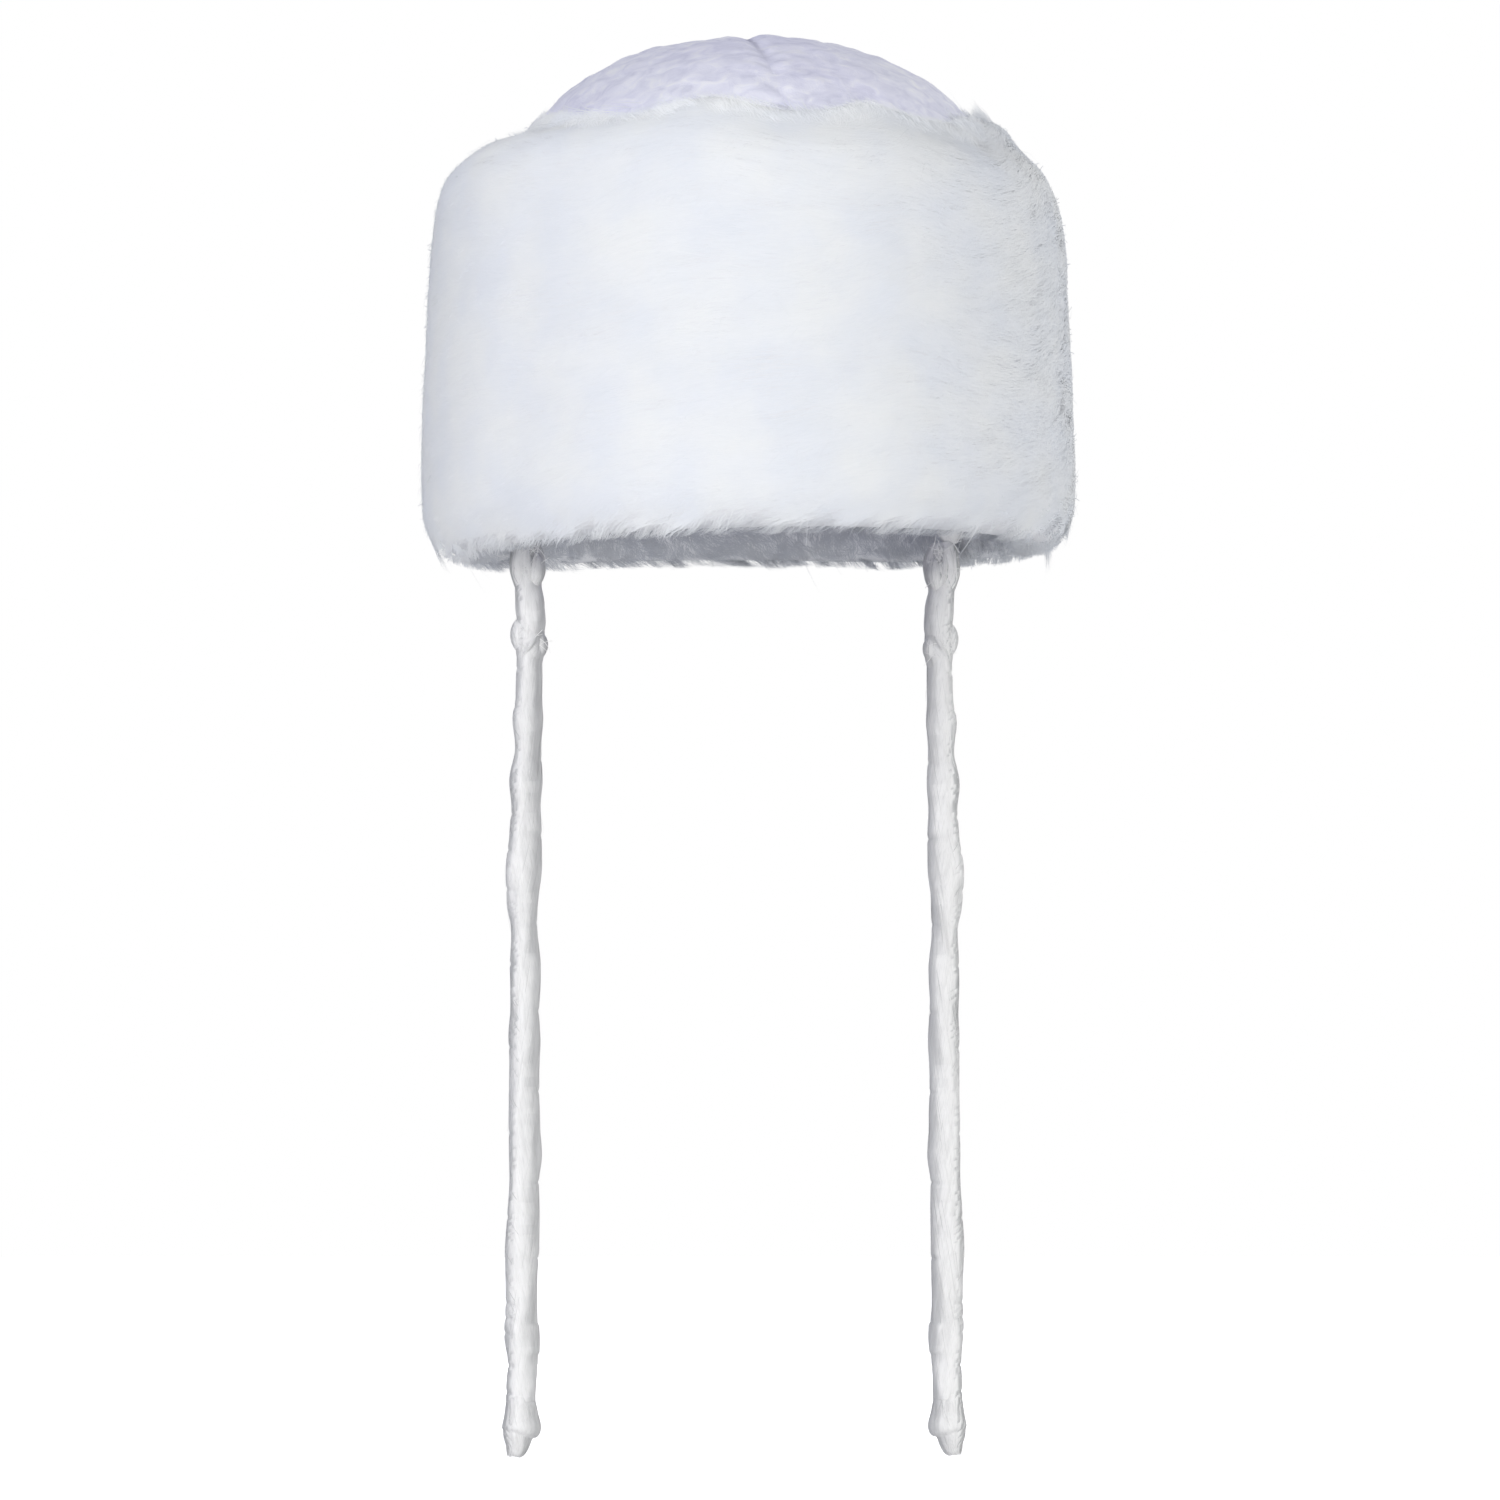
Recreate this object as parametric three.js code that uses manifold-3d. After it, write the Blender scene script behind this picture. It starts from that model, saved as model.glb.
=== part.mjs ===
// A tall fur hat: a velvet crown in two panels, a deep fur band combed round it, and two
// long sidelocks of twisted hair that hang from the inside of the rim and end in knots.
// Millimetres, +Z up. The front faces -Y. Left is -X, as seen from the front.
// The origin is the centre of the head opening, level with the rim.
import * as THREE from "three";
import { mergeVertices } from "three/addons/utils/BufferGeometryUtils.js";
import Module from "manifold-3d";

const wasm = await Module();
wasm.setup();

// Driving dimensions
const OPENING = { halfWidth: 89, halfLength: 102 }; // a head of 60 cm round
const GAP = 0.3; // between pieces that are sewn or pressed together
const CLOTH = 2; // the velvet with its backing
const TURN_IN = { thickness: 3.7, top: 28, slotFloor: 9 }; // the fur folded up inside the rim

// Both the crown and the fur band are drawn through the same angles round the head.
const STEPS_ROUND = 80;

// The crown is a straight-sided cap that closes in a flat dome.
const CROWN = {
  wallOut: TURN_IN.thickness + GAP + CLOTH, // its outer face, beyond the head opening
  hem: TURN_IN.slotFloor + GAP,
  plain: 32, // below this height the seam doesn't dip
  spring: 100, // where the dome starts
  apex: 186,
  flatness: 2.65, // over 2 keeps the top flat for longer
  fullness: 2.2, // over 2 rounds the shoulders out
  lean: 1.8, // the top leans this far to the right
  puff: 0.9, // the right panel stands this much prouder than the left near the top
  // Each level of the dome is this much of the wall's size.
  levels: [1, 0.985, 0.955, 0.9, 0.8, 0.7, 0.55, 0.37, 0.15, 0],
};
// The panels dip where they are sewn together. Above the turn the seam runs to the left.
const SEAM = { depth: 1.7, reach: 3.4, turn: 137, drift: 6.7 };

// The fur band's outline. height is above the rim, left and right are how far the fur
// stands out beyond the head opening on that side.
const FUR_ROWS = [
  { place: "crest", height: 154.4, left: -7, right: 1.6 },
  { place: "shoulder", height: 146.5, left: 10.2, right: 7.2 },
  { place: "cheek", height: 136, left: 20.4, right: 16.6 },
  { place: "upper_side", height: 120, left: 24.1, right: 22.2 },
  { place: "side", height: 74, left: 27, right: 25.2 },
  { place: "belly", height: 31, left: 28.4, right: 26.8 },
  { place: "heel", height: 11, left: 26.6, right: 25.4 },
  { place: "hem_outside", height: 2.6, left: 20.2, right: 20.2 },
  { place: "hem", height: 0.4, left: 12, right: 12 },
  { place: "hem_inside", height: 2.8, left: 3.2, right: 3.2 },
  { place: "turn_in", height: 9, left: 0, right: 0 },
  { place: "turn_in_top", height: TURN_IN.top - 2, left: 0, right: 0 },
];
// The level of the dome where the fur ends: high at the very sides and lower all along the
// front and back, where the fur's top edge dips too. Rows below the start keep their height.
const FUR_LIP = { sides: 0.81, middle: 0.88 };
const CREST_DIP = { depth: 6, start: 120, full: 154.4 };
const RIM_SAG = { left: -2.2, right: 1.4, back: 6 }; // the rim isn't quite level

// The fur lies in flat overlapping locks that are combed round the band towards the left.
const LOCKS = { round: 20, rows: 7, stepsPerRow: 3, relief: 2.8 };

// One sidelock, given for the right side and mirrored for the left.
const SIDELOCK = {
  top: { x: 76, y: 35.8 }, // where it hangs just inside the turned-in fur
  foot: { x: 78, y: 35.8 },
  sides: 8,
  root: { from: 8.2, to: 24, angle: 0.36, width: 13, thickness: 7 }, // sewn to that fur
  neck: { from: -8.8, to: -22.8, width: 10.8, steps: 3 },
  length: { from: -32.9, to: -303.3, steps: 34 },
};

// The twisted hair swells and thins on the way down. drift is how far its middle strays
// outwards from the straight line between top and foot.
const SWELLS = [
  { height: -33, width: 9.8, drift: -0.5 },
  { height: -49, width: 9.6, drift: -0.4 },
  { height: -57, width: 11.2, drift: 0 },
  { height: -68, width: 9.4, drift: -0.3 },
  { height: -80, width: 12.2, drift: 0.4 },
  { height: -89, width: 10.5, drift: 0.2 },
  { height: -98, width: 11.7, drift: 0.3 },
  { height: -111, width: 13.2, drift: 0.9 },
  { height: -123, width: 11.4, drift: 1 },
  { height: -134, width: 9.4, drift: 0.5 },
  { height: -147, width: 11.3, drift: 0.1 },
  { height: -163, width: 10.4, drift: -0.2 },
  { height: -174, width: 11.6, drift: 0 },
  { height: -185, width: 10.8, drift: 0.1 },
  { height: -204, width: 11.4, drift: 0 },
  { height: -215, width: 11.9, drift: -0.4 },
  { height: -225, width: 10.8, drift: 0 },
  { height: -248, width: 12.2, drift: 0.3 },
  { height: -265, width: 11.4, drift: 0.3 },
  { height: -280, width: 12.2, drift: 0.3 },
  { height: -292, width: 10.8, drift: -0.1 },
  { height: -304, width: 12, drift: 0.2 },
];

// Each knot is the strand wound over itself. tilt is the slope of the turn, in degrees.
const KNOTS = {
  top_knot: { height: -0.3, width: 15.6, tall: 16.4, tilt: 18 },
  mid_knot: { height: -27.85, width: 13, tall: 9.5, tilt: 24 },
  end_knot: { height: -310.9, width: 14.6, tall: 14.6, tilt: 22, tuft: 11.4 },
};

const FUR = { color: 0xf1f3f7, roughness: 0.95, metalness: 0 };
const VELVET = { color: 0xdcdcee, roughness: 0.85, metalness: 0 };
const HAIR = { color: 0xf3f4f5, roughness: 0.55, metalness: 0 };

const TURN = Math.PI * 2;
const UP = new THREE.Vector3(0, 0, 1);

// The horizontal direction that faces away from the head at an angle round the opening.
function outward(angle) {
  return new THREE.Vector3(
    Math.cos(angle) / OPENING.halfWidth,
    Math.sin(angle) / OPENING.halfLength,
    0,
  ).normalize();
}

// A point round the head opening, moved outwards and up.
function ovalPoint(angle, out, height) {
  const round = new THREE.Vector3(
    OPENING.halfWidth * Math.cos(angle),
    OPENING.halfLength * Math.sin(angle),
    height,
  );
  return round.addScaledVector(outward(angle), out);
}

// A point on the crown, inset from its outer face, at a level of the dome. The level is
// the share of the wall's size, so 1 is the spring line and 0 the apex.
function crownPoint(angle, level, inset = 0) {
  const wall = ovalPoint(angle, CROWN.wallOut - inset, 0);
  const rise = (1 - level ** CROWN.flatness) ** (1 / CROWN.fullness);
  const height = CROWN.spring + (CROWN.apex - inset - CROWN.spring) * rise;
  return shapeCrown(new THREE.Vector3(wall.x * level, wall.y * level, height));
}

// How far to the right the seam lies at a height.
function seamPlace(height) {
  const share = (height - SEAM.turn) / (CROWN.apex - SEAM.turn);
  return -SEAM.drift * Math.max(0, share);
}

// The lean, the dip along the seam and the prouder right panel, added to a point of the
// crown.
function shapeCrown(point) {
  const high = Math.max(0, (point.z - CROWN.spring) / (CROWN.apex - CROWN.spring));
  point.x += CROWN.lean * high;
  const fromSeam = point.x - seamPlace(point.z);
  const side = fromSeam / OPENING.halfWidth;
  const dip = SEAM.depth * Math.exp(-((fromSeam / SEAM.reach) ** 2));
  const flat = high ** 3;
  const level = Math.hypot(point.x, point.y) || 1;
  const inwards = (dip * (1 - flat)) / level;
  point.x -= point.x * inwards;
  point.y -= point.y * inwards;
  point.z += flat * (CROWN.puff * Math.tanh(side * 6) - dip);
  return point;
}

// Joins rings of points, each running the same way, into one closed surface. The last
// ring meets the first again.
function skinRings(rings) {
  const sides = rings[0].length;
  const positions = rings.flat().flatMap((p) => [p.x, p.y, p.z]);
  const faces = [];
  for (let i = 0; i < rings.length; i++) {
    for (let j = 0; j < sides; j++) {
      const a = i * sides + j;
      const b = i * sides + ((j + 1) % sides);
      const c = ((i + 1) % rings.length) * sides + ((j + 1) % sides);
      const d = ((i + 1) % rings.length) * sides + j;
      faces.push(a, b, c, a, c, d);
    }
  }
  const geometry = new THREE.BufferGeometry();
  geometry.setAttribute("position", new THREE.Float32BufferAttribute(positions, 3));
  geometry.setIndex(faces);
  return geometry;
}

// A closed three.js geometry as a manifold-3d solid.
function solidFrom(geometry) {
  const bare = geometry.clone();
  bare.deleteAttribute("normal");
  bare.deleteAttribute("uv");
  const merged = mergeVertices(bare, 1e-4);
  const corners = [...merged.index.array];
  const faces = [];
  for (let i = 0; i < corners.length; i += 3) {
    const [a, b, c] = corners.slice(i, i + 3);
    if (a !== b && b !== c && a !== c) faces.push(a, b, c);
  }
  return new wasm.Manifold(
    new wasm.Mesh({
      numProp: 3,
      vertProperties: new Float32Array(merged.attributes.position.array),
      triVerts: new Uint32Array(faces),
    }),
  );
}

// A manifold-3d solid as a three.js geometry.
function geometryFrom(solid) {
  const mesh = solid.getMesh();
  const geometry = new THREE.BufferGeometry();
  const positions = [];
  for (let i = 0; i < mesh.numVert; i++) {
    positions.push(...mesh.vertProperties.subarray(i * mesh.numProp, i * mesh.numProp + 3));
  }
  geometry.setAttribute("position", new THREE.Float32BufferAttribute(positions, 3));
  geometry.setIndex([...mesh.triVerts]);
  geometry.computeVertexNormals();
  return geometry;
}

function namedMesh(name, geometry, look) {
  const mesh = new THREE.Mesh(geometry, new THREE.MeshStandardMaterial(look));
  mesh.name = name;
  return mesh;
}

// The angles round the head, starting at the seam in front.
function roundAngles() {
  return Array.from({ length: STEPS_ROUND }, (_, i) => TURN * (i / STEPS_ROUND - 1 / 4));
}

// One face of the crown as rings: two round the wall, then the levels up to the apex.
function crownFace(inset) {
  const angles = roundAngles();
  const wall = [CROWN.hem, CROWN.plain].map((height) =>
    angles.map((angle) => ovalPoint(angle, CROWN.wallOut - inset, height)),
  );
  const dome = CROWN.levels.map((level) =>
    angles.map((angle) => crownPoint(angle, level, inset)),
  );
  return [...wall, ...dome];
}

// All the room on one side of the seam, which the crown is cut with.
function besideSeam(side) {
  const reach = 200;
  const seam = [0, SEAM.turn, reach].map(
    (height) => new THREE.Vector2(seamPlace(height) + (side * GAP) / 2, height),
  );
  const far = [reach, 0].map((height) => new THREE.Vector2(side * reach, height));
  const room = new THREE.ExtrudeGeometry(new THREE.Shape([...seam, ...far]), {
    depth: reach * 2,
    bevelEnabled: false,
  });
  return room.rotateX(Math.PI / 2).translate(0, reach, 0);
}

// The crown as one shell, outside up to the apex and down the inside, then cut along the
// seam into two panels.
function crownPanels() {
  const rings = [...crownFace(0), ...crownFace(CLOTH).reverse()];
  const shell = solidFrom(skinRings(rings));
  return [-1, 1].map((side) => {
    const name = side < 0 ? "crown_panel_left" : "crown_panel_right";
    const half = solidFrom(besideSeam(side));
    return namedMesh(name, geometryFrom(shell.intersect(half)), VELVET);
  });
}

// How far a lock stands out. share runs down the band from its lip to the turned-in edge.
// Along each lock it rises from the root to the tip, and it is rounded across.
function lockRelief(step, share) {
  const row = Math.floor(share * LOCKS.rows);
  const across = share * LOCKS.rows - row;
  const stepsEach = STEPS_ROUND / LOCKS.round;
  const shifted = STEPS_ROUND * 2 - step + (row % 2) * (stepsEach / 2);
  const run = (shifted % stepsEach) / (stepsEach - 1);
  const laidFlat = row === 0 ? 0.3 : 1; // the top row lies against the crown
  return LOCKS.relief * laidFlat * (0.25 + 0.75 * run) * Math.sin(Math.PI * across);
}

// The fur's outer face at one step round: a smooth line through the rows, with the locks.
function furOutside(angle, step) {
  const right = (1 + Math.cos(angle)) / 2;
  const back = Math.max(0, Math.sin(angle)) ** 3;
  const middle = 1 - Math.cos(angle) ** 6;
  const out = outward(angle);
  const sag = THREE.MathUtils.lerp(RIM_SAG.left, RIM_SAG.right, right) + RIM_SAG.back * back;
  const rows = FUR_ROWS.map((row) => {
    const low = Math.max(0, 1 - row.height / TURN_IN.top);
    const high = (row.height - CREST_DIP.start) / (CREST_DIP.full - CREST_DIP.start);
    const dip = CREST_DIP.depth * middle * Math.max(0, high);
    const height = row.height + sag * low - dip;
    return ovalPoint(angle, row.left + (row.right - row.left) * right, height);
  });
  const lipLevel = THREE.MathUtils.lerp(FUR_LIP.sides, FUR_LIP.middle, middle);
  const lip = crownPoint(angle, lipLevel, -GAP);
  const line = new THREE.CatmullRomCurve3([lip, ...rows], false, "centripetal");
  const alongBand = new THREE.Vector3().crossVectors(UP, out);
  const steps = LOCKS.rows * LOCKS.stepsPerRow;
  const furred = 0.86; // the locks stop before the turned-in edge, inside the rim
  return line.getSpacedPoints(steps).map((point, i) => {
    const share = i / steps / furred;
    if (share >= 1) return point;
    const face = new THREE.Vector3().crossVectors(alongBand, line.getTangentAt(i / steps));
    return point.addScaledVector(face, -lockRelief(step, share));
  });
}

// The fur's inner face at an angle, from the top of the turned-in edge down the slot that
// holds the crown's hem, then up along the crown almost to the lip.
function furInside(angle) {
  const foldedTop = ovalPoint(angle, TURN_IN.thickness, TURN_IN.top - 2);
  const ridge = ovalPoint(angle, TURN_IN.thickness / 2, TURN_IN.top);
  const slotInner = ovalPoint(angle, TURN_IN.thickness, TURN_IN.slotFloor);
  const slotOuter = ovalPoint(angle, CROWN.wallOut + GAP, TURN_IN.slotFloor);
  const wall = ovalPoint(angle, CROWN.wallOut + GAP, CROWN.plain);
  const levels = CROWN.levels.filter((level) => level > FUR_LIP.middle);
  const dome = levels.map((level) => crownPoint(angle, level, -GAP));
  return [ridge, foldedTop, slotInner, slotOuter, wall, ...dome];
}

function furBand() {
  const rings = roundAngles().map((angle, step) => [
    ...furOutside(angle, step),
    ...furInside(angle),
  ]);
  return namedMesh("fur_band", skinRings(rings), FUR);
}

// The value of a column of the swell table at a height, eased between its rows.
function swell(height, column) {
  const next = SWELLS.findIndex((row) => row.height <= height);
  if (next < 0) return SWELLS[SWELLS.length - 1][column];
  if (next === 0) return SWELLS[0][column];
  const [above, below] = [SWELLS[next - 1], SWELLS[next]];
  const share = THREE.MathUtils.smoothstep(-height, -above.height, -below.height);
  return THREE.MathUtils.lerp(above[column], below[column], share);
}

// The middle of a sidelock at a height, on the straight line between its top and foot.
function strandAxis(height, side) {
  const share = height / SIDELOCK.length.to;
  const x = THREE.MathUtils.lerp(SIDELOCK.top.x, SIDELOCK.foot.x, share);
  const y = THREE.MathUtils.lerp(SIDELOCK.top.y, SIDELOCK.foot.y, share);
  return new THREE.Vector3(side * x, y, height);
}

// A stretch of the strand: a round tube down its axis, then widened and shifted by rule.
function strandStretch({ from, to, steps }, side, widthAt, driftAt) {
  const section = new THREE.Shape(
    new THREE.EllipseCurve(0, 0, 1, 1).getPoints(SIDELOCK.sides).slice(0, -1),
  );
  const path = new THREE.LineCurve3(strandAxis(from, side), strandAxis(to, side));
  const tube = new THREE.ExtrudeGeometry(section, { steps, bevelEnabled: false, extrudePath: path });
  const place = tube.getAttribute("position");
  for (let i = 0; i < place.count; i++) {
    const height = THREE.MathUtils.clamp(place.getZ(i), to, from);
    const axis = strandAxis(height, side);
    const radius = widthAt(height) / 2;
    const x = axis.x + (place.getX(i) - axis.x) * radius + side * driftAt(height);
    const y = axis.y + (place.getY(i) - axis.y) * radius;
    place.setXYZ(i, x, y, height);
  }
  return geometryFrom(solidFrom(tube));
}

// A knot: a tilted turn of hair round a barrel, whose flat ends meet the strand.
function knotSolid({ width, tall, tilt }, side) {
  const hair = Math.min(width * 0.23, tall * 0.24);
  const turn = new THREE.TorusGeometry(width / 2 - hair, hair, 6, 12);
  turn.scale(1, 0.94, 1.15);
  turn.rotateY(side * THREE.MathUtils.degToRad(-tilt));
  const end = width * 0.33;
  const middle = width * 0.41;
  const half = tall / 2;
  const profile = [
    new THREE.Vector2(0, -half),
    new THREE.Vector2(end, -half),
    new THREE.Vector2(middle, -half / 2),
    new THREE.Vector2(middle, half / 2),
    new THREE.Vector2(end, half),
    new THREE.Vector2(0, half),
  ];
  const barrel = new THREE.LatheGeometry(profile, 10);
  barrel.rotateX(Math.PI / 2);
  return solidFrom(barrel).add(solidFrom(turn));
}

// The loose ends below the last knot: tapering locks side by side, longer towards the
// outside of the hat.
function tuftSolid({ width, tuft }, side) {
  const locks = 4;
  let solid = null;
  for (let i = 0; i < locks; i++) {
    const outer = i / (locks - 1);
    const long = tuft * (0.8 + 0.4 * outer);
    const lock = new THREE.CylinderGeometry(width * 0.19, width * 0.09, long, 6, 1);
    lock.rotateX(Math.PI / 2);
    lock.scale(1, 1.35, 1);
    lock.translate(side * width * (outer * 0.42 - 0.16), 0, -long / 2);
    const piece = solidFrom(lock);
    solid = solid ? solid.add(piece) : piece;
  }
  return solid;
}

function knotMesh(name, knot, side) {
  let solid = knotSolid(knot, side);
  if (knot.tuft) solid = solid.add(tuftSolid(knot, side));
  const mesh = namedMesh(name, geometryFrom(solid), HAIR);
  mesh.position.copy(strandAxis(knot.height, side));
  return mesh;
}

// The root of a sidelock: flattened hair, tapered upwards, along the turned-in fur.
function rootSolid(side) {
  const { from, to, angle, width, thickness } = SIDELOCK.root;
  const turn = side > 0 ? angle : Math.PI - angle;
  const tall = to - from;
  const lock = new THREE.CylinderGeometry(0.36, 0.5, tall, 12, 1);
  lock.rotateX(Math.PI / 2);
  lock.scale(thickness, width, 1);
  const face = outward(turn);
  lock.rotateZ(Math.atan2(face.y, face.x));
  const place = ovalPoint(turn, -(thickness / 2 + GAP * 2), from + tall / 2);
  lock.translate(place.x, place.y, place.z);
  return solidFrom(lock);
}

function sidelock(name, side) {
  const group = new THREE.Group();
  const { neck, length } = SIDELOCK;
  group.add(namedMesh(`${name}_root`, geometryFrom(rootSolid(side)), HAIR));
  const neckTube = strandStretch(neck, side, () => neck.width, () => 0);
  const longTube = strandStretch(
    length,
    side,
    (height) => swell(height, "width"),
    (height) => swell(height, "drift"),
  );
  group.add(namedMesh(`${name}_neck`, neckTube, HAIR));
  group.add(namedMesh(`${name}_strand`, longTube, HAIR));
  for (const [part, knot] of Object.entries(KNOTS)) {
    group.add(knotMesh(`${name}_${part}`, knot, side));
  }
  return group;
}

const hat = new THREE.Group();
hat.add(...crownPanels());
hat.add(furBand());
hat.add(sidelock("sidelock_left", -1));
hat.add(sidelock("sidelock_right", 1));

export default hat;
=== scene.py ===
"""A tall ring of combed white fur round a domed velvet crown, with two long knotted sidelocks.

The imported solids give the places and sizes. This script dresses them: velvet over the two
crown panels, hair over the fur band, and twisted hair over the sidelocks.
Sizes are in millimetres until they are turned into metres with MM.
"""

import math

import bpy
import numpy as np
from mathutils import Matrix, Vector


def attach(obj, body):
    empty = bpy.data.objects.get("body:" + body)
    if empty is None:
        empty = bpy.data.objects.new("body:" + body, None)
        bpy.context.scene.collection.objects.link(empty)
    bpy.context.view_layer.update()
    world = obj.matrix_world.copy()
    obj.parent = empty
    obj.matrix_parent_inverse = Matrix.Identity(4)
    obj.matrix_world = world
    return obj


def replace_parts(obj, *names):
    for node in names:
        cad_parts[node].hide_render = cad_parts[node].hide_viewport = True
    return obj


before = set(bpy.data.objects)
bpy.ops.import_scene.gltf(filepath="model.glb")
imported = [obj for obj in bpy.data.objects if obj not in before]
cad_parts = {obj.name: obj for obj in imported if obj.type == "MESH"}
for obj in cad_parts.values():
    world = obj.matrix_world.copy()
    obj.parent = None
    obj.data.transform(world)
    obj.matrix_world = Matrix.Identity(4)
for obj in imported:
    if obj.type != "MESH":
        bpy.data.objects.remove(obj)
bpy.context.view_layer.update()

MM = 0.001
WHITE = (1.0, 1.0, 1.0)

# The forms that the solids share with this script
OPENING = (89.0, 102.0)  # half the head opening's width and length
GAP = 0.3  # between the velvet and the fur
CLOTH = 2.0  # the velvet's thickness
# The fur that is turned in under the rim, and the height where its hem carries the crown
TURN_IN = {"thickness": 3.7, "top": 28.0, "floor": 9.0}
# The crown stands out from the opening. Its wall is plain up to a height, and the dome
# springs higher up and ends at the apex.
CROWN = {
    "out": 6.0, "hem": 9.3, "plain": 32.0, "spring": 100.0, "apex": 186.0,
    "flatness": 2.65, "fullness": 2.2, "lean": 1.8, "puff": 0.9,
}
# The seam's dip, and how far to the left it has drifted at the apex
SEAM = {"depth": 1.7, "reach": 3.4, "turn": 137.0, "drift": 6.7}
SEAM_SHADE = {"width": 0.9, "from": 166.0, "full": 184.0}  # where the painted shade along the seam's groove shows
SEAM_ROOM = 45.0  # how far to each side the velvet follows the seam to the left
FUR_LIP = {"sides": 0.81, "middle": 0.88}  # the level of the dome where the fur meets it
# How much lower the fur's top edge is in front and behind, and how far each part of the
# rim is raised
CREST_DIP = {"depth": 6.0, "start": 120.0, "full": 154.4}
RIM_SAG = {"left": -2.2, "right": 1.4, "back": 6.0}
# Rows of the fur's outline: height, and how far out it stands on the left and the right
FUR_ROWS = (
    (154.4, -7.0, 1.6),
    (146.5, 10.2, 7.2),
    (136.0, 20.4, 16.6),
    (120.0, 24.1, 22.2),
    (74.0, 27.0, 25.2),
    (31.0, 28.4, 26.8),
    (11.0, 26.6, 25.4),
    (2.6, 20.2, 20.2),
    (0.4, 12.0, 12.0),
    (2.8, 3.2, 3.2),
    (9.0, 0.0, 0.0),
    (26.0, 0.0, 0.0),
)
HEEL, HEM, TURN = 6, 8, 10  # where the rows turn under, lie lowest and start up inside
# Where the pile's top edge swells: the angle in degrees, its reach and how much higher
CREST_SWELLS = (
    (-110.0, 12.0, 4.5), (-71.0, 7.0, 3.0), (-90.0, 6.0, -1.0), (-48.0, 10.0, -1.5),
    (-4.0, 10.0, -0.5), (176.0, 34.0, -3.5),
)

# The photograph's view of the hat
VIEW = {"azimuth": -8.6, "elevation": -3.2, "distance": 3.0, "height": -0.0698}
MM_A_PIXEL = 0.36  # at the hat's middle
PHOTO = 1500  # its width in pixels
SENSOR = 36.0
FLOOR = -0.352  # just below the sidelocks' loose ends


# Helpers


def unit(v):
    return v / np.maximum(np.linalg.norm(v, axis=-1, keepdims=True), 1e-12)


def smoothstep(value, low, high):
    """From 0 at low to 1 at high, with soft ends."""
    t = np.clip((value - low) / (high - low), 0, 1)
    return t * t * (3 - 2 * t)


class Waves:
    """A smooth random field over space: a sum of waves, with some wavelengths in it."""

    def __init__(self, seed, lengths, each=7):
        rng = np.random.default_rng(seed)
        long = np.repeat(lengths, each)
        self.turns = unit(rng.normal(size=(len(long), 3))) * (2 * np.pi / long)[:, None]
        self.start = rng.uniform(0, 2 * np.pi, len(long))
        self.share = (long / long.max()) ** 0.7
        self.share /= np.sqrt((self.share**2).sum() / 2)

    def __call__(self, points):
        """About -2 to 2, and mostly -1 to 1, at points in millimetres."""
        return np.sin(points @ self.turns.T + self.start) @ self.share


def add_object(name, data):
    """A new object in the scene."""
    made = bpy.data.objects.new(name, data)
    bpy.context.scene.collection.objects.link(made)
    return made


def mesh_object(name, points, faces, material, smooth=True):
    """A new object from points in millimetres and a list of faces."""
    mesh = bpy.data.meshes.new(name)
    points = np.asarray(points, float).reshape(-1, 3) * MM
    mesh.from_pydata(points.tolist(), [], [list(map(int, f)) for f in faces])
    mesh.validate()
    mesh.polygons.foreach_set("use_smooth", [smooth] * len(mesh.polygons))
    mesh.materials.append(material)
    return add_object(name, mesh)


def point_values(piece, name, values, kind="FLOAT"):
    """A number or a vector for each point of a mesh, which its material can read."""
    data = piece.data.attributes.new(name, kind, "POINT").data
    field = "value" if kind == "FLOAT" else "vector"
    data.foreach_set(field, np.asarray(values, np.float32).ravel())


def grid_faces(rows, columns, wrap_columns=True, wrap_rows=False):
    """The four corners of each cell in a grid of points."""
    across = np.arange(columns if wrap_columns else columns - 1)
    down = np.arange(rows if wrap_rows else rows - 1)
    i, j = np.meshgrid(down, across, indexing="ij")
    right, below = (j + 1) % columns, (i + 1) % rows
    corners = (i * columns + j, i * columns + right, below * columns + right, below * columns + j)
    return np.stack([c.ravel() for c in corners], axis=1)


def dress(piece, slot, *nodes):
    """The piece rides with the hat and stands for these nodes. slot is not used."""
    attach(piece, "root")
    if nodes:
        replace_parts(piece, *nodes)
    return piece


# Camera, light and floor


def towards(azimuth, elevation):
    """The direction from the hat at an angle round it, 0 in front, and an angle up."""
    a, e = math.radians(azimuth), math.radians(elevation)
    return Vector((math.sin(a) * math.cos(e), -math.cos(a) * math.cos(e), math.sin(e)))


def aim(piece, azimuth, elevation, distance, height=0.0):
    """Puts a camera or a light round the hat, facing the hat's middle at a height."""
    way = towards(azimuth, elevation)
    piece.location = Vector((0, 0, height)) + way * distance
    piece.rotation_mode = "QUATERNION"
    piece.rotation_quaternion = (-way).to_track_quat("-Z", "Y")


def make_camera():
    data = bpy.data.cameras.new("camera")
    data.sensor_width = SENSOR
    data.lens = SENSOR * VIEW["distance"] / (MM_A_PIXEL * MM * PHOTO)
    data.clip_end = 60
    camera = add_object("camera", data)
    aim(camera, **VIEW)
    bpy.context.scene.camera = camera


# The lamps: azimuth, elevation and distance in metres, size in metres, watts and colour
LAMPS = {
    "key": (-42, 6, 3.2, 2.2, 53, (1.0, 0.985, 0.965)),
    "side": (-84, 16, 3.2, 2.2, 1.5, (0.3, 0.6, 1.6)),
    "right": (98, 4, 3.2, 2.2, 13, (1.0, 1.0, 0.99)),
    "low_front": (6, -26, 3.2, 2.0, 15, WHITE),
    "behind": (171.4, 8, 3.4, 1.6, 20, WHITE),
}


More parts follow.
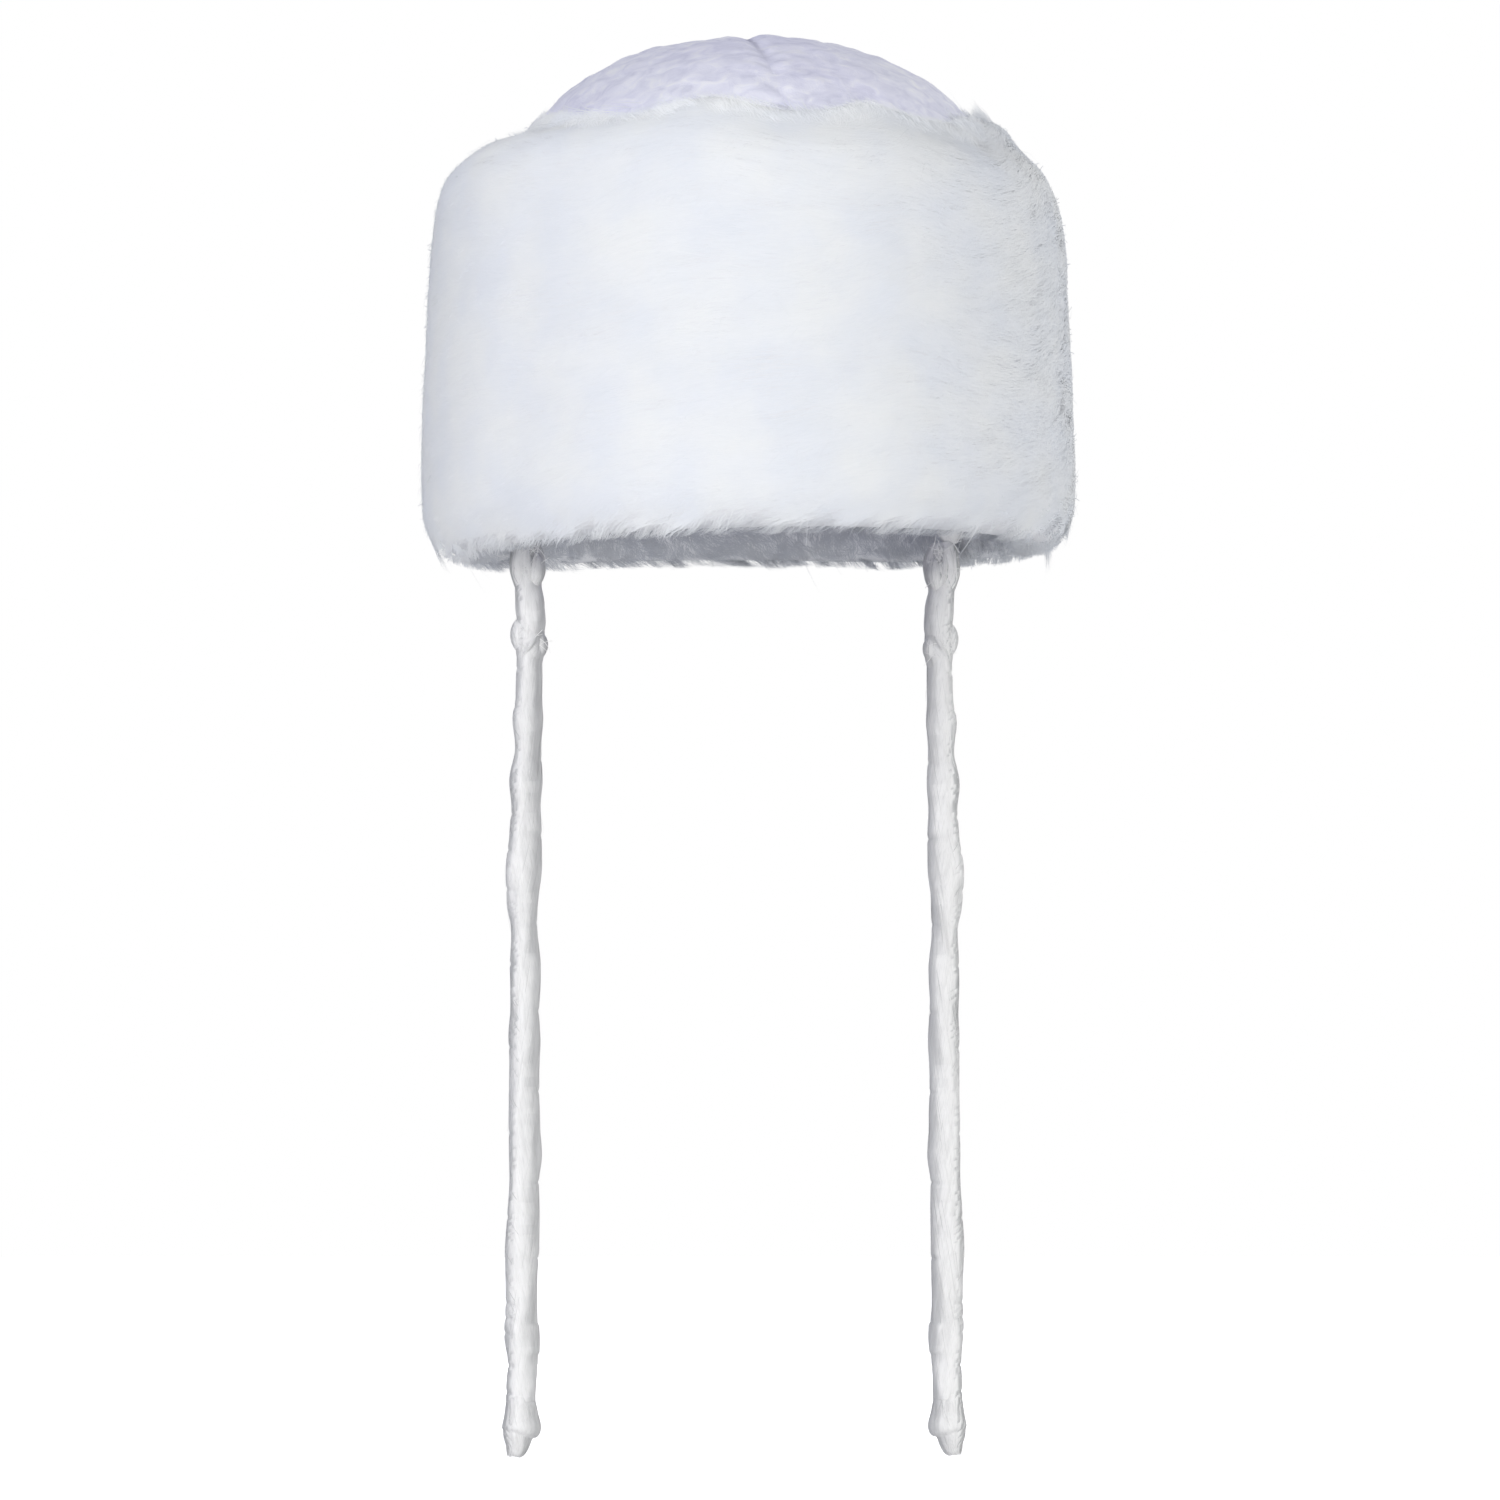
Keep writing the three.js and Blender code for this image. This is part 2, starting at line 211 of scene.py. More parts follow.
def add_lamps():
    for name, (azimuth, elevation, distance, size, watts, colour) in LAMPS.items():
        data = bpy.data.lights.new(name, "AREA")
        data.shape = "DISK"
        data.size = size
        data.energy = watts
        data.color = colour
        aim(add_object(name, data), azimuth, elevation, distance)


# The room's light by direction: what each axis adds at its two ends
ROOM = {
    "X": ((0.02, 0.025, 0.06, 1), (0.66, 0.658, 0.65, 1)),
    "Z": ((0.07, 0.07, 0.08, 1), (0.20, 0.205, 0.22, 1)),
}


def make_world():
    """A white room to look at, whose light comes mostly from the right and is cooler on the left."""
    world = bpy.data.worlds.new("white_room")
    bpy.context.scene.world = world
    world.use_nodes = True
    tree = world.node_tree
    tree.nodes.clear()
    link = tree.links.new
    place = tree.nodes.new("ShaderNodeTexCoord")
    split = tree.nodes.new("ShaderNodeSeparateXYZ")
    link(place.outputs["Generated"], split.inputs[0])
    light = None
    for axis, (low, high) in ROOM.items():
        span = tree.nodes.new("ShaderNodeMapRange")
        span.inputs["From Min"].default_value = -1
        link(split.outputs[axis], span.inputs["Value"])
        tint = blend_colours(tree, span.outputs[0], low, high)
        light = tint if light is None else blend_colours(tree, 1.0, light, tint, "ADD")
    seen = tree.nodes.new("ShaderNodeLightPath")
    white = blend_colours(tree, seen.outputs["Is Camera Ray"], light, (*WHITE, 1))
    shine = tree.nodes.new("ShaderNodeBackground")
    out = tree.nodes.new("ShaderNodeOutputWorld")
    link(white, shine.inputs["Color"])
    link(shine.outputs[0], out.inputs[0])


def make_floor():
    """A wide pale floor that runs into the white room without a line."""
    material, _, _ = new_material("pale_floor", {
        "Base Color": (0.9, 0.9, 0.9, 1), "Roughness": 0.9,
        "Emission Color": (*WHITE, 1), "Emission Strength": 0.8,
    })
    sides, radius = 96, 20000
    angles = np.linspace(0, 2 * np.pi, sides, endpoint=False)
    ring = np.stack([np.cos(angles), np.sin(angles), 0 * angles], axis=1) * radius
    ring[:, 2] = FLOOR / MM
    floor = mesh_object("floor", ring, [range(sides)], material, smooth=False)
    floor.visible_diffuse = False  # the room's own light comes from below instead
    floor.visible_glossy = False
    floor.visible_shadow = False


def light_scene():
    bpy.context.scene.view_settings.view_transform = "Standard"
    make_world()
    make_floor()
    add_lamps()


# Materials

# How much red, green and blue light the fur gives back, with the darker inside tone as painted shade,
# and its roots' share of that, also painted shade
FUR_TONE = {"outside": (0.90, 0.911, 0.923), "inside": (0.655, 0.67, 0.70)}
FUR_ROOT_SHADE = 0.97


def set_inputs(node, values):
    for name, value in values.items():
        node.inputs[name].default_value = value


def new_material(name, looks):
    """A material, its nodes and its shader, whose inputs are set from looks."""
    material = bpy.data.materials.new(name)
    material.use_nodes = True
    tree = material.node_tree
    skin = tree.nodes["Principled BSDF"]
    set_inputs(skin, looks)
    return material, tree, skin


def carried(tree, name, output="Fac"):
    """What each point of the mesh carries under this name."""
    node = tree.nodes.new("ShaderNodeAttribute")
    node.attribute_name = name
    return node.outputs[output]


def noise_by(tree, vector, scale, detail, distortion):
    """A noise that runs by a vector, scale in waves a unit of it."""
    noise = tree.nodes.new("ShaderNodeTexNoise")
    set_inputs(noise, {"Scale": scale, "Detail": detail, "Distortion": distortion})
    tree.links.new(vector, noise.inputs["Vector"])
    return noise.outputs["Fac"]


def space_noise(tree, scale, detail=3.0, stretch=(1, 1, 1), distortion=0.0):
    """A noise in the hat's own space, scale in waves a metre, pulled out along some axes."""
    place = tree.nodes.new("ShaderNodeTexCoord")
    pull = tree.nodes.new("ShaderNodeMapping")
    pull.inputs["Scale"].default_value = stretch
    tree.links.new(place.outputs["Object"], pull.inputs["Vector"])
    return noise_by(tree, pull.outputs[0], scale, detail, distortion)


def grain_noise(tree, scale, detail=3.0, distortion=0.0):
    """A noise that runs along the hair, by the grain that each point carries in mm."""
    return noise_by(tree, carried(tree, "grain", "Vector"), scale, detail, distortion)


def ramp(tree, value, *stops):
    """A colour for a value, from (position, (r, g, b)) stops."""
    node = tree.nodes.new("ShaderNodeValToRGB")
    while len(node.color_ramp.elements) < len(stops):
        node.color_ramp.elements.new(0.5)
    for element, (position, colour) in zip(node.color_ramp.elements, stops):
        element.position = position
        element.color = (*colour, 1)
    tree.links.new(value, node.inputs["Fac"])
    return node.outputs["Color"]


def shade_by(tree, name, full):
    """White where the mesh carries 0 under this name, and this colour where it carries 1."""
    return ramp(tree, carried(tree, name), (0.0, WHITE), (1.0, full))


def blend_colours(tree, share, first, second, kind="MIX"):
    """Two colours mixed. Each of the three may be a socket or a plain value."""
    node = tree.nodes.new("ShaderNodeMix")
    node.data_type = "RGBA"
    node.blend_type = kind
    sockets = {s.identifier: s for s in node.inputs}
    for key, value in (("Factor_Float", share), ("A_Color", first), ("B_Color", second)):
        if isinstance(value, bpy.types.NodeSocket):
            tree.links.new(value, sockets[key])
        else:
            sockets[key].default_value = value
    return next(s for s in node.outputs if s.identifier == "Result_Color")


def paint(tree, skin, colour, *shades):
    """Gives a material its colour, multiplied by some others."""
    for shade in shades:
        colour = blend_colours(tree, 1.0, colour, shade, "MULTIPLY")
    tree.links.new(colour, skin.inputs["Base Color"])


def bump(tree, skin, height, depth, strength=1.0):
    """Adds relief to a material, depth in metres, on top of any that it has."""
    node = tree.nodes.new("ShaderNodeBump")
    set_inputs(node, {"Strength": strength, "Distance": depth})
    tree.links.new(height, node.inputs["Height"])
    below = skin.inputs["Normal"]
    if below.is_linked:
        tree.links.new(below.links[0].from_socket, node.inputs["Normal"])
    tree.links.new(node.outputs[0], below)


def fur_material(name, tone):
    """White pile: a little greyer near the roots, which is painted shade, and no two hairs quite
    alike.
    """
    material, tree, skin = new_material(name, {"Roughness": 0.65, "Specular IOR Level": 0.2})
    # painted shade near the roots
    shaded_roots = tuple(FUR_ROOT_SHADE * c for c in tone)
    depth = ramp(tree, carried(tree, "along"), (0.0, shaded_roots), (0.5, tone))
    own = ramp(tree, carried(tree, "own_tone"), (0.0, (0.945, 0.952, 0.96)), (1.0, WHITE))
    patch = (0.35, (0.962, 0.972, 0.992)), (0.65, (1.0, 1.0, 0.992))
    paint(tree, skin, depth, own, ramp(tree, space_noise(tree, 42, 4), *patch))
    return material


def backing_material():
    """The dense under-pile, seen only between the longer hairs."""
    looks = {"Roughness": 0.9, "Specular IOR Level": 0.1}
    material, tree, skin = new_material("fur_ground", looks)
    streaks = space_noise(tree, 700, 3, (0.3, 0.3, 1.3))
    paint(tree, skin, ramp(tree, streaks, (0.35, (0.83, 0.84, 0.86)), (0.65, (0.86, 0.87, 0.89))))
    bump(tree, skin, streaks, 0.0004)
    return material


def velvet_material():
    """Crushed velvet: the nap lies this way and that, so it is mottled light and dark."""
    material, tree, skin = new_material("crushed_velvet", {
        "Roughness": 0.8, "Specular IOR Level": 0.15, "Sheen Weight": 0.12,
        "Sheen Roughness": 0.45, "Sheen Tint": (0.86, 0.86, 1.0, 1),
    })
    crush = space_noise(tree, 130, 6, (1, 1.1, 1.5), 0.9)
    nap = (
        (0.30, (0.74, 0.75, 0.86)), (0.45, (0.82, 0.83, 0.93)), (0.57, (0.88, 0.89, 0.97)),
        (0.70, (0.95, 0.96, 0.99)),
    )
    drift = ramp(tree, space_noise(tree, 15, 2), (0.35, (0.94, 0.93, 0.99)), (0.65, WHITE))
    # the seam's darker colour is painted shade along its groove
    paint(tree, skin, ramp(tree, crush, *nap), drift, shade_by(tree, "seam", (0.62, 0.62, 0.66)))
    bump(tree, skin, crush, 0.0008, 0.45)
    bump(tree, skin, space_noise(tree, 1500, 2), 0.0002, 0.5)
    return material


def hair_material():
    """Glossy white fibre, with painted shade on the side of each sidelock that faces the other."""
    material, tree, skin = new_material("glossy_white_hair", {
        "Roughness": 0.4, "Specular IOR Level": 0.5, "Sheen Weight": 0.15, "Sheen Roughness": 0.5,
    })
    bundles = grain_noise(tree, 0.55, 3, 0.4)
    fine = grain_noise(tree, 2.6, 3)
    fibre = (0.38, (0.925, 0.925, 0.91)), (0.5, (0.975, 0.975, 0.96)), (0.6, (1.0, 1.0, 0.985))
    threads = ramp(tree, fine, (0.32, (0.91, 0.91, 0.91)), (0.5, WHITE))
    # painted shade on the side that faces the other sidelock
    painted_inner_shade = shade_by(tree, "inner", (0.54, 0.545, 0.555))
    # painted shadow in the gaps down the outer edge and between threads
    gaps = shade_by(tree, "painted_gap_shade", (0.34, 0.35, 0.36))
    paint(tree, skin, ramp(tree, bundles, *fibre), threads, painted_inner_shade, gaps)
    bump(tree, skin, bundles, 0.0006, 0.6)
    bump(tree, skin, fine, 0.0002, 0.6)
    return material


# The oval that the hat is built round


def outward(angles):
    """The horizontal directions that face away from the head."""
    v = np.stack([np.cos(angles) / OPENING[0], np.sin(angles) / OPENING[1], 0 * angles], -1)
    return unit(v)


def oval(angles, out, height):
    """Points round the head opening, moved outwards and up. All three broadcast."""
    angles, out, height = np.broadcast_arrays(angles, out, height)
    flat = np.stack([OPENING[0] * np.cos(angles), OPENING[1] * np.sin(angles), 0 * angles], -1)
    points = flat + outward(angles) * out[..., None]
    points[..., 2] = height
    return points


# The velvet crown


def crown_points(angles, levels, inset):
    """Points on the crown's dome. A level of 1 is where the dome springs and 0 the apex."""
    angles, levels = np.broadcast_arrays(angles, levels)
    wall = oval(angles, CROWN["out"] - inset, 0.0)
    rise = (1 - levels ** CROWN["flatness"]) ** (1 / CROWN["fullness"])
    points = wall * levels[..., None]
    points[..., 2] = CROWN["spring"] + (CROWN["apex"] - inset - CROWN["spring"]) * rise
    return shape_crown(points)


def crown_height(points):
    """The share of the way up the dome."""
    return np.clip((points[..., 2] - CROWN["spring"]) / (CROWN["apex"] - CROWN["spring"]), 0, 1)


def seam_place(height):
    """How far to the right the seam lies at a height."""
    share = (height - SEAM["turn"]) / (CROWN["apex"] - SEAM["turn"])
    return -SEAM["drift"] * np.maximum(0, share)


def shape_crown(points):
    """The lean, the seam with its dip and the prouder right panel."""
    shaped = points.copy()
    high = crown_height(points)
    seam = seam_place(points[..., 2])
    near = np.exp(-((points[..., 0] / SEAM_ROOM) ** 2))
    shaped[..., 0] += CROWN["lean"] * high * (1 - near) + seam * near
    x, y = shaped[..., 0].copy(), shaped[..., 1].copy()
    flat = high**3
    dip = SEAM["depth"] * np.exp(-(((x - seam) / SEAM["reach"]) ** 2))
    length = np.maximum(np.hypot(x, y), 1.0)
    shaped[..., 0] -= x / length * dip * (1 - flat)
    shaped[..., 1] -= y / length * dip * (1 - flat)
    shaped[..., 2] += flat * (CROWN["puff"] * np.tanh((x - seam) / OPENING[0] * 6) - dip)
    return shaped


PUCKER = {"height": 0.6, "reach": 10.0, "clear": 1.5}
CRUSH = {"long": 0.34, "short": 0.16, "sink": 0.7}
CRUSH_LONG = Waves(11, [46, 30, 21])
CRUSH_SHORT = Waves(12, [12, 8, 5.5])


def crown_relief(points, side):
    """How far the velvet stands out: puckers beside the seam, and folds from being crushed."""
    x, y, z = points[..., 0], points[..., 1], points[..., 2]
    away = np.abs(x - seam_place(z))
    along = np.arctan2(z - CROWN["spring"], y) * 90
    beat = along * 0.72 + side * 1.3 + 1.7 * np.sin(along * 0.21) + away * 0.25
    near = np.exp(-((away / PUCKER["reach"]) ** 1.5)) * (1 - np.exp(-((away / PUCKER["clear"]) ** 2)))
    pucker = PUCKER["height"] * np.sin(beat) * near
    folds = CRUSH["long"] * CRUSH_LONG(points) + CRUSH["short"] * CRUSH_SHORT(points)
    return (pucker + folds - CRUSH["sink"]) * np.minimum(1, crown_height(points) * 4)


PANEL_GRID = {"around": 120, "up": 72}
WALL_TOP = 70.0  # the highest row of the panels' plain wall


def panel_rows(side, inset):
    """One skin of a panel: rows of points from the hem up the wall and over the dome."""
    share = np.linspace(0, 1, PANEL_GRID["around"])
    eased = share - 0.5 * np.sin(2 * np.pi * share) / (2 * np.pi)  # closer together at the seam
    angles = -side * np.pi / 2 + np.pi * eased
    levels = np.sin(np.linspace(np.pi / 2, 0.02, PANEL_GRID["up"]))
    heights = (CROWN["hem"], CROWN["plain"], WALL_TOP)
    wall = np.stack([oval(angles, CROWN["out"] - inset, height) for height in heights])
    return np.concatenate([wall, crown_points(angles[None, :], levels[:, None], inset)])


def crown_panel(label, side, velvet):
    """One half of the crown: its outer face, its inner one and the turned edges between."""
    face, back = panel_rows(side, 0.0), panel_rows(side, CLOTH)
    up = face - np.array([0, 0, CROWN["spring"] * 0.8])
    up[..., 2] = np.maximum(up[..., 2], 0)
    face = face + unit(up) * crown_relief(face, side)[..., None]
    rows, around = face.shape[:2]
    behind = rows * around  # from a point of the outer face to its point of the inner one
    outer = grid_faces(rows, around, wrap_columns=False)
    faces = [*outer, *(outer[:, ::-1] + behind)]
    grid = np.arange(behind).reshape(rows, around)
    for edge in (grid[:, 0], grid[::-1, -1], grid[0, ::-1], grid[-1]):
        faces += [(a, b, b + behind, a + behind) for a, b in zip(edge[:-1], edge[1:])]
    points = np.concatenate([face.reshape(-1, 3), back.reshape(-1, 3)])
    panel = mesh_object(f"velvet_{label}", points, faces, velvet)
    panel.data.set_sharp_from_angle(angle=math.radians(60))
    # painted shade along the seam's groove, towards the apex
    away = np.abs(points[:, 0] - seam_place(points[:, 2]))
    line = np.exp(-((away / SEAM_SHADE["width"]) ** 2))
    line = line * smoothstep(points[:, 2], SEAM_SHADE["from"], SEAM_SHADE["full"])
    point_values(panel, "seam", line)
    dress(panel, "velvet_crown", f"crown_panel_{label}")


# The fur band's form


def smooth_line(controls, count):
    """Evenly spaced points on a smooth line through controls, for many lines at once.

    controls is (lines, points, numbers). The line is a Catmull-Rom spline whose steps go
    by the root of the distance, which keeps it from looping where controls crowd."""
    steps = np.sqrt(np.linalg.norm(np.diff(controls, axis=1), axis=2))
    slopes = np.diff(controls, axis=1) / steps[..., None]
    weight = steps[:, 1:, None] / (steps[:, 1:, None] + steps[:, :-1, None])
    inner = slopes[:, :-1] * weight + slopes[:, 1:] * (1 - weight)
    tangents = np.concatenate([slopes[:, :1], inner, slopes[:, -1:]], axis=1)
    t = np.linspace(0, 1, 24, endpoint=False)[None, :, None]
    pieces = []
    for i in range(controls.shape[1] - 1):
        h = steps[:, i, None, None]
        a, b = controls[:, i, None], controls[:, i + 1, None]
        ta, tb = tangents[:, i, None] * h, tangents[:, i + 1, None] * h
        pieces.append(
            (2 * t**3 - 3 * t**2 + 1) * a
            + (t**3 - 2 * t**2 + t) * ta
            + (3 * t**2 - 2 * t**3) * b
            + (t**3 - t**2) * tb
        )
    line = np.concatenate([*pieces, controls[:, -1:]], axis=1)
    run = np.cumsum(np.linalg.norm(np.diff(line, axis=1), axis=2), axis=1)
    run = np.concatenate([np.zeros((len(line), 1)), run], axis=1)
    out = np.empty((len(line), count, line.shape[2]))
    for i, row in enumerate(line):
        at = np.linspace(0, run[i, -1], count)
        for k in range(line.shape[2]):
            out[i, :, k] = np.interp(at, run[i], row[:, k])
    return out


LIP_RISE = 0.0067  # how far up the dome's levels a swell of a millimetre takes the lip


class FurForm:
    """The fur band's outer face as a grid: round the head, and down from the crown's lip."""

    def __init__(self, round_steps=288, down_steps=200):
        self.angles = np.linspace(0, 2 * np.pi, round_steps, endpoint=False)
        middle = 1 - np.cos(self.angles) ** 6
        swells = self.crest_swells()
        level = FUR_LIP["sides"] + (FUR_LIP["middle"] - FUR_LIP["sides"]) * middle
        level = level - LIP_RISE * swells
        lip = crown_points(self.angles, level, -GAP)
        controls = self.outline(lip, swells - CREST_DIP["depth"] * middle)
        line = smooth_line(controls, down_steps)
        self.points = oval(self.angles[:, None], line[..., 0], line[..., 1])
        self.points[:, 0] = lip
        self.over = unit(crown_points(self.angles, level - 0.04, -GAP) - lip)[:, None]
        self.round = np.roll(self.points, -1, 0) - np.roll(self.points, 1, 0)
        self.round = self.round / (4 * np.pi / round_steps)
        self.down = np.gradient(self.points, axis=1) * (down_steps - 1)
        self.normals = unit(np.cross(self.down, self.round))
        # How far down the line each row of the outline lies
        self.rows = [self.share_at(row) for row in np.moveaxis(controls, 1, 0)[1:]]

    def outline(self, lip, crest):
        """How far out and how high each row lies at each angle, from the lip down."""
        right = (1 + np.cos(self.angles)) / 2
        back = np.maximum(0, np.sin(self.angles)) ** 3
        sag = RIM_SAG["left"] + (RIM_SAG["right"] - RIM_SAG["left"]) * right + RIM_SAG["back"] * back
        lip_out = ((lip - oval(self.angles, 0.0, 0.0)) * outward(self.angles)).sum(-1)
        rows = [np.stack([lip_out, lip[:, 2]], -1)]
        for height, on_left, on_right in FUR_ROWS:
            low = max(0.0, 1 - height / TURN_IN["top"])
            high = max(0.0, (height - CREST_DIP["start"]) / (CREST_DIP["full"] - CREST_DIP["start"]))
            out = on_left + (on_right - on_left) * right
            rows.append(np.stack([out, height + sag * low + crest * high], -1))
        return np.stack(rows, axis=1)

    def crest_swells(self):
        """How much higher the pile's top edge is at each angle."""
        total = 0 * self.angles
        for angle, reach, height in CREST_SWELLS:
            away = (np.degrees(self.angles) - angle + 180) % 360 - 180
            total = total + height * np.exp(-((away / reach) ** 2))
        return total

    def share_at(self, row):
        """How far down the line a row of the outline lies, on average."""
        place = oval(self.angles, row[:, 0], row[:, 1])
        gaps = np.linalg.norm(self.points - place[:, None], axis=2)
        return float(gaps.argmin(axis=1).mean() / (self.points.shape[1] - 1))

    def at(self, values, angle, share):
        """Values of the grid between its points, by angle and by share of the way down."""
        rounds, downs = values.shape[:2]
        u = (angle / (2 * np.pi) % 1) * rounds
        v = np.clip(share, 0, 1) * (downs - 1)
        i, j = np.floor(u).astype(int) % rounds, np.minimum(v.astype(int), downs - 2)
        fu, fv = (u - np.floor(u))[..., None], (v - j)[..., None]
        ahead = (i + 1) % rounds
        top = values[i, j] * (1 - fu) + values[ahead, j] * fu
        low = values[i, j + 1] * (1 - fu) + values[ahead, j + 1] * fu
        return top * (1 - fv) + low * fv

    def pick(self, rng, count, low, high):
        """Random places on the part of the form between two shares of the way down."""
        sizes = np.linalg.norm(np.cross(self.round, self.down), axis=2)
        shares = np.linspace(0, 1, sizes.shape[1])
        sizes = sizes * ((shares >= low) & (shares <= high))
        cell = rng.choice(sizes.size, count, p=sizes.ravel() / sizes.sum())
        i, j = np.divmod(cell, sizes.shape[1])
        angle = (i + rng.uniform(-0.5, 0.5, count)) / len(self.angles) * 2 * np.pi
        share = (j + rng.uniform(-0.5, 0.5, count)) / (sizes.shape[1] - 1)
        return angle, np.clip(share, low, high)


# Hair


def on_ribbon(values):
    """What each corner of a ribbon gets, from what each point of its line has. There are two
    corners at each point, and one at the tip."""
    return np.concatenate([np.repeat(values[:, :-1], 2, axis=1), values[:, -1:]], axis=1)


def ribbons(name, *, lines, across_from, shade, widths, tones, material):
    """Tapering ribbons, one for each line of points, as one mesh that ends in points.

    lines, across_from and shade are (hairs, points, 3), and widths (hairs, points - 1). A
    ribbon lies flat against across_from, and is shaded as if it faced the way of shade."""
    hairs, count = lines.shape[:2]
    along = unit(np.gradient(lines, axis=1))
    across = unit(np.cross(along, across_from))
    facing = unit(shade - along * (shade * along).sum(-1, keepdims=True))
    half = (across[:, :-1] * widths[..., None]) / 2
    pairs = np.stack([lines[:, :-1] - half, lines[:, :-1] + half], axis=2).reshape(hairs, -1, 3)
    points = np.concatenate([pairs, lines[:, -1:]], axis=1).reshape(-1, 3)
    each = 2 * count - 1
    first = (np.arange(hairs) * each)[:, None, None]
    quads = np.array([(2 * k, 2 * k + 1, 2 * k + 3, 2 * k + 2) for k in range(count - 2)])
    quads = (first + quads[None]).reshape(-1, 4)
    ends = first[:, 0] + np.array([[2 * count - 4, 2 * count - 3, 2 * count - 2]])
    corners = np.concatenate([quads.ravel(), ends.ravel()])
    starts = np.concatenate([np.arange(len(quads)) * 4, len(quads) * 4 + np.arange(len(ends)) * 3])
    mesh = bpy.data.meshes.new(name)
    mesh.vertices.add(len(points))
    mesh.vertices.foreach_set("co", (points * MM).ravel())
    mesh.loops.add(len(corners))
    mesh.loops.foreach_set("vertex_index", corners)
    mesh.polygons.add(len(starts))
    mesh.polygons.foreach_set("loop_start", starts)
    mesh.polygons.foreach_set("use_smooth", np.ones(len(starts), bool))
    mesh.update(calc_edges=True)
    mesh.normals_split_custom_set_from_vertices(on_ribbon(facing).reshape(-1, 3).tolist())
    mesh.materials.append(material)
    made = add_object(name, mesh)
    share = np.broadcast_to(np.linspace(0, 1, count), (hairs, count))
    point_values(made, "along", on_ribbon(share))
    point_values(made, "own_tone", np.repeat(tones, each))
    return made


UP_SHADE = 0.55  # fluffy hair that faces up is lit almost like hair that faces out
SWIRL = Waves(21, [150, 80, 52])
LOCK_TURN = Waves(22, [34, 22])
LOCK_RISE = Waves(23, [26, 15])
# By what shares locks and hairs differ in length, and hairs in width
LOCK_LENGTHS, HAIR_LENGTHS, HAIR_WIDTHS = (0.8, 1.15), (0.7, 1.1), (0.75, 1.2)
HAIR_BEND = 0.12  # how far a hair turns on its way, in radians
TAPER = 0.55  # how wide a hair still is near its tip


def each_hair(rng, root, count, kind):
    """Which lock each hair is in, and its own place in it, slope, length and rise."""
    locks = len(root)
    slope = kind["slope"] + kind["swirl"] * SWIRL(root) + kind["turn"] * LOCK_TURN(root)
    slope = slope + rng.normal(0, kind["lock_jitter"], locks)
    long = kind["length"] * rng.uniform(*LOCK_LENGTHS, locks)
    rise = kind["rise"] + kind["rise_varies"] * (LOCK_RISE(root) + rng.normal(0, 0.3, locks))
    lock = rng.integers(0, locks, count)
    beside = rng.normal(0, kind["lock_width"], count)
    above = rng.normal(0, kind["lock_width"] * 0.75, count)
    slope = slope[lock] + rng.normal(0, kind["hair_jitter"], count)
    long = long[lock] * rng.uniform(*HAIR_LENGTHS, count)
    rise = rise[lock] + rng.normal(0, kind["rise_jitter"], count)
    stray = rng.random(count) < kind["strays"]
    slope = slope + stray * rng.normal(0, 0.5, count)
    rise = rise + stray * rng.uniform(0.3, kind["stray_rise"], count)
    return lock, stray, [column[:, None] for column in (beside, above, slope, long, rise)]


def facings(rng, lines, normal, out, kind):
    """The way that each hair's ribbon faces, and the way that it is shaded."""
    roll = rng.uniform(-kind["roll"], kind["roll"], len(lines))[:, None, None]
    if kind["stands"]:
        normal = unit(normal * (1 - kind["stands"]) + out * kind["stands"])
    across_from = unit(normal + np.cross(unit(np.gradient(lines, axis=1)), normal) * roll)
    if kind["stands"]:
        return across_from, across_from
    upright = normal * np.where(normal[..., 2:] > 0, np.array([1, 1, UP_SHADE]), 1.0)
    return across_from, unit(upright + rng.normal(0, kind["shade_jitter"], (len(lines), 1, 3)))


def comb(form, rng, kind, between, limits):
    """Combed hairs rooted between two shares of the way down.

    Hairs share locks. Each lock has one direction and length, and its hairs draw together
    towards its tip. Where a hair passes one of the limits it leaves the form and goes on
    straight."""
    count = kind["count"]
    angle, share = form.pick(rng, max(1, int(count / kind["hairs_a_lock"])), *between)
    root = form.at(form.points, angle, share)
    lock, stray, (beside, above, slope, long, rise) = each_hair(rng, root, count, kind)
    t = np.linspace(0, 1, kind["points"])[None, :]
    draw = 1 - kind["draw"] * t**1.3
    turn = slope + rng.normal(0, HAIR_BEND, count)[:, None] * t
    travel = long * t
    angle, share = angle[lock][:, None], share[lock][:, None]
    stretch_round = np.linalg.norm(form.at(form.round, angle, share), axis=-1)
    stretch_down = np.linalg.norm(form.at(form.down, angle, share), axis=-1)
    angles = angle + (beside * draw - travel * np.cos(turn)) / stretch_round
    shares = share + (above * draw + travel * np.sin(turn)) / stretch_down
    held = np.clip(shares, *limits)
    past = ((shares - held) * stretch_down)[..., None]
    normal = form.at(form.normals, angles, held)
    over = form.at(np.repeat(form.over, 2, axis=1), angles, held * 0)
    onward = np.where(past > 0, unit(form.at(form.down, angles, held)), -over)
    climb = 1 - (1 - np.minimum(t / kind["crown_at"], 1)) ** 2
    fall = np.maximum(0, (t - kind["crown_at"]) / max(1 - kind["crown_at"], 0.01)) ** 1.3
    drop = (kind["tuck"] * rng.uniform(0.6, 1.4, count) * ~stray)[:, None]
    lift = -kind["depth"] + (rise + kind["depth"]) * climb - drop * fall
    lines = form.at(form.points, angles, held) + normal * lift[..., None] + onward * past
    across_from, shade = facings(rng, lines, normal, outward(angles), kind)
    taper = np.linspace(1, TAPER, kind["points"] - 1)[None, :]
    widths = kind["width"] * rng.uniform(*HAIR_WIDTHS, count)[:, None] * taper
    tones = rng.normal(0.6, 0.22, len(root))[lock] * 0.5 + rng.random(count) * 0.5
    return {
        "lines": lines, "across_from": across_from, "shade": shade, "widths": widths,
        "tones": np.clip(tones, 0, 1),
    }


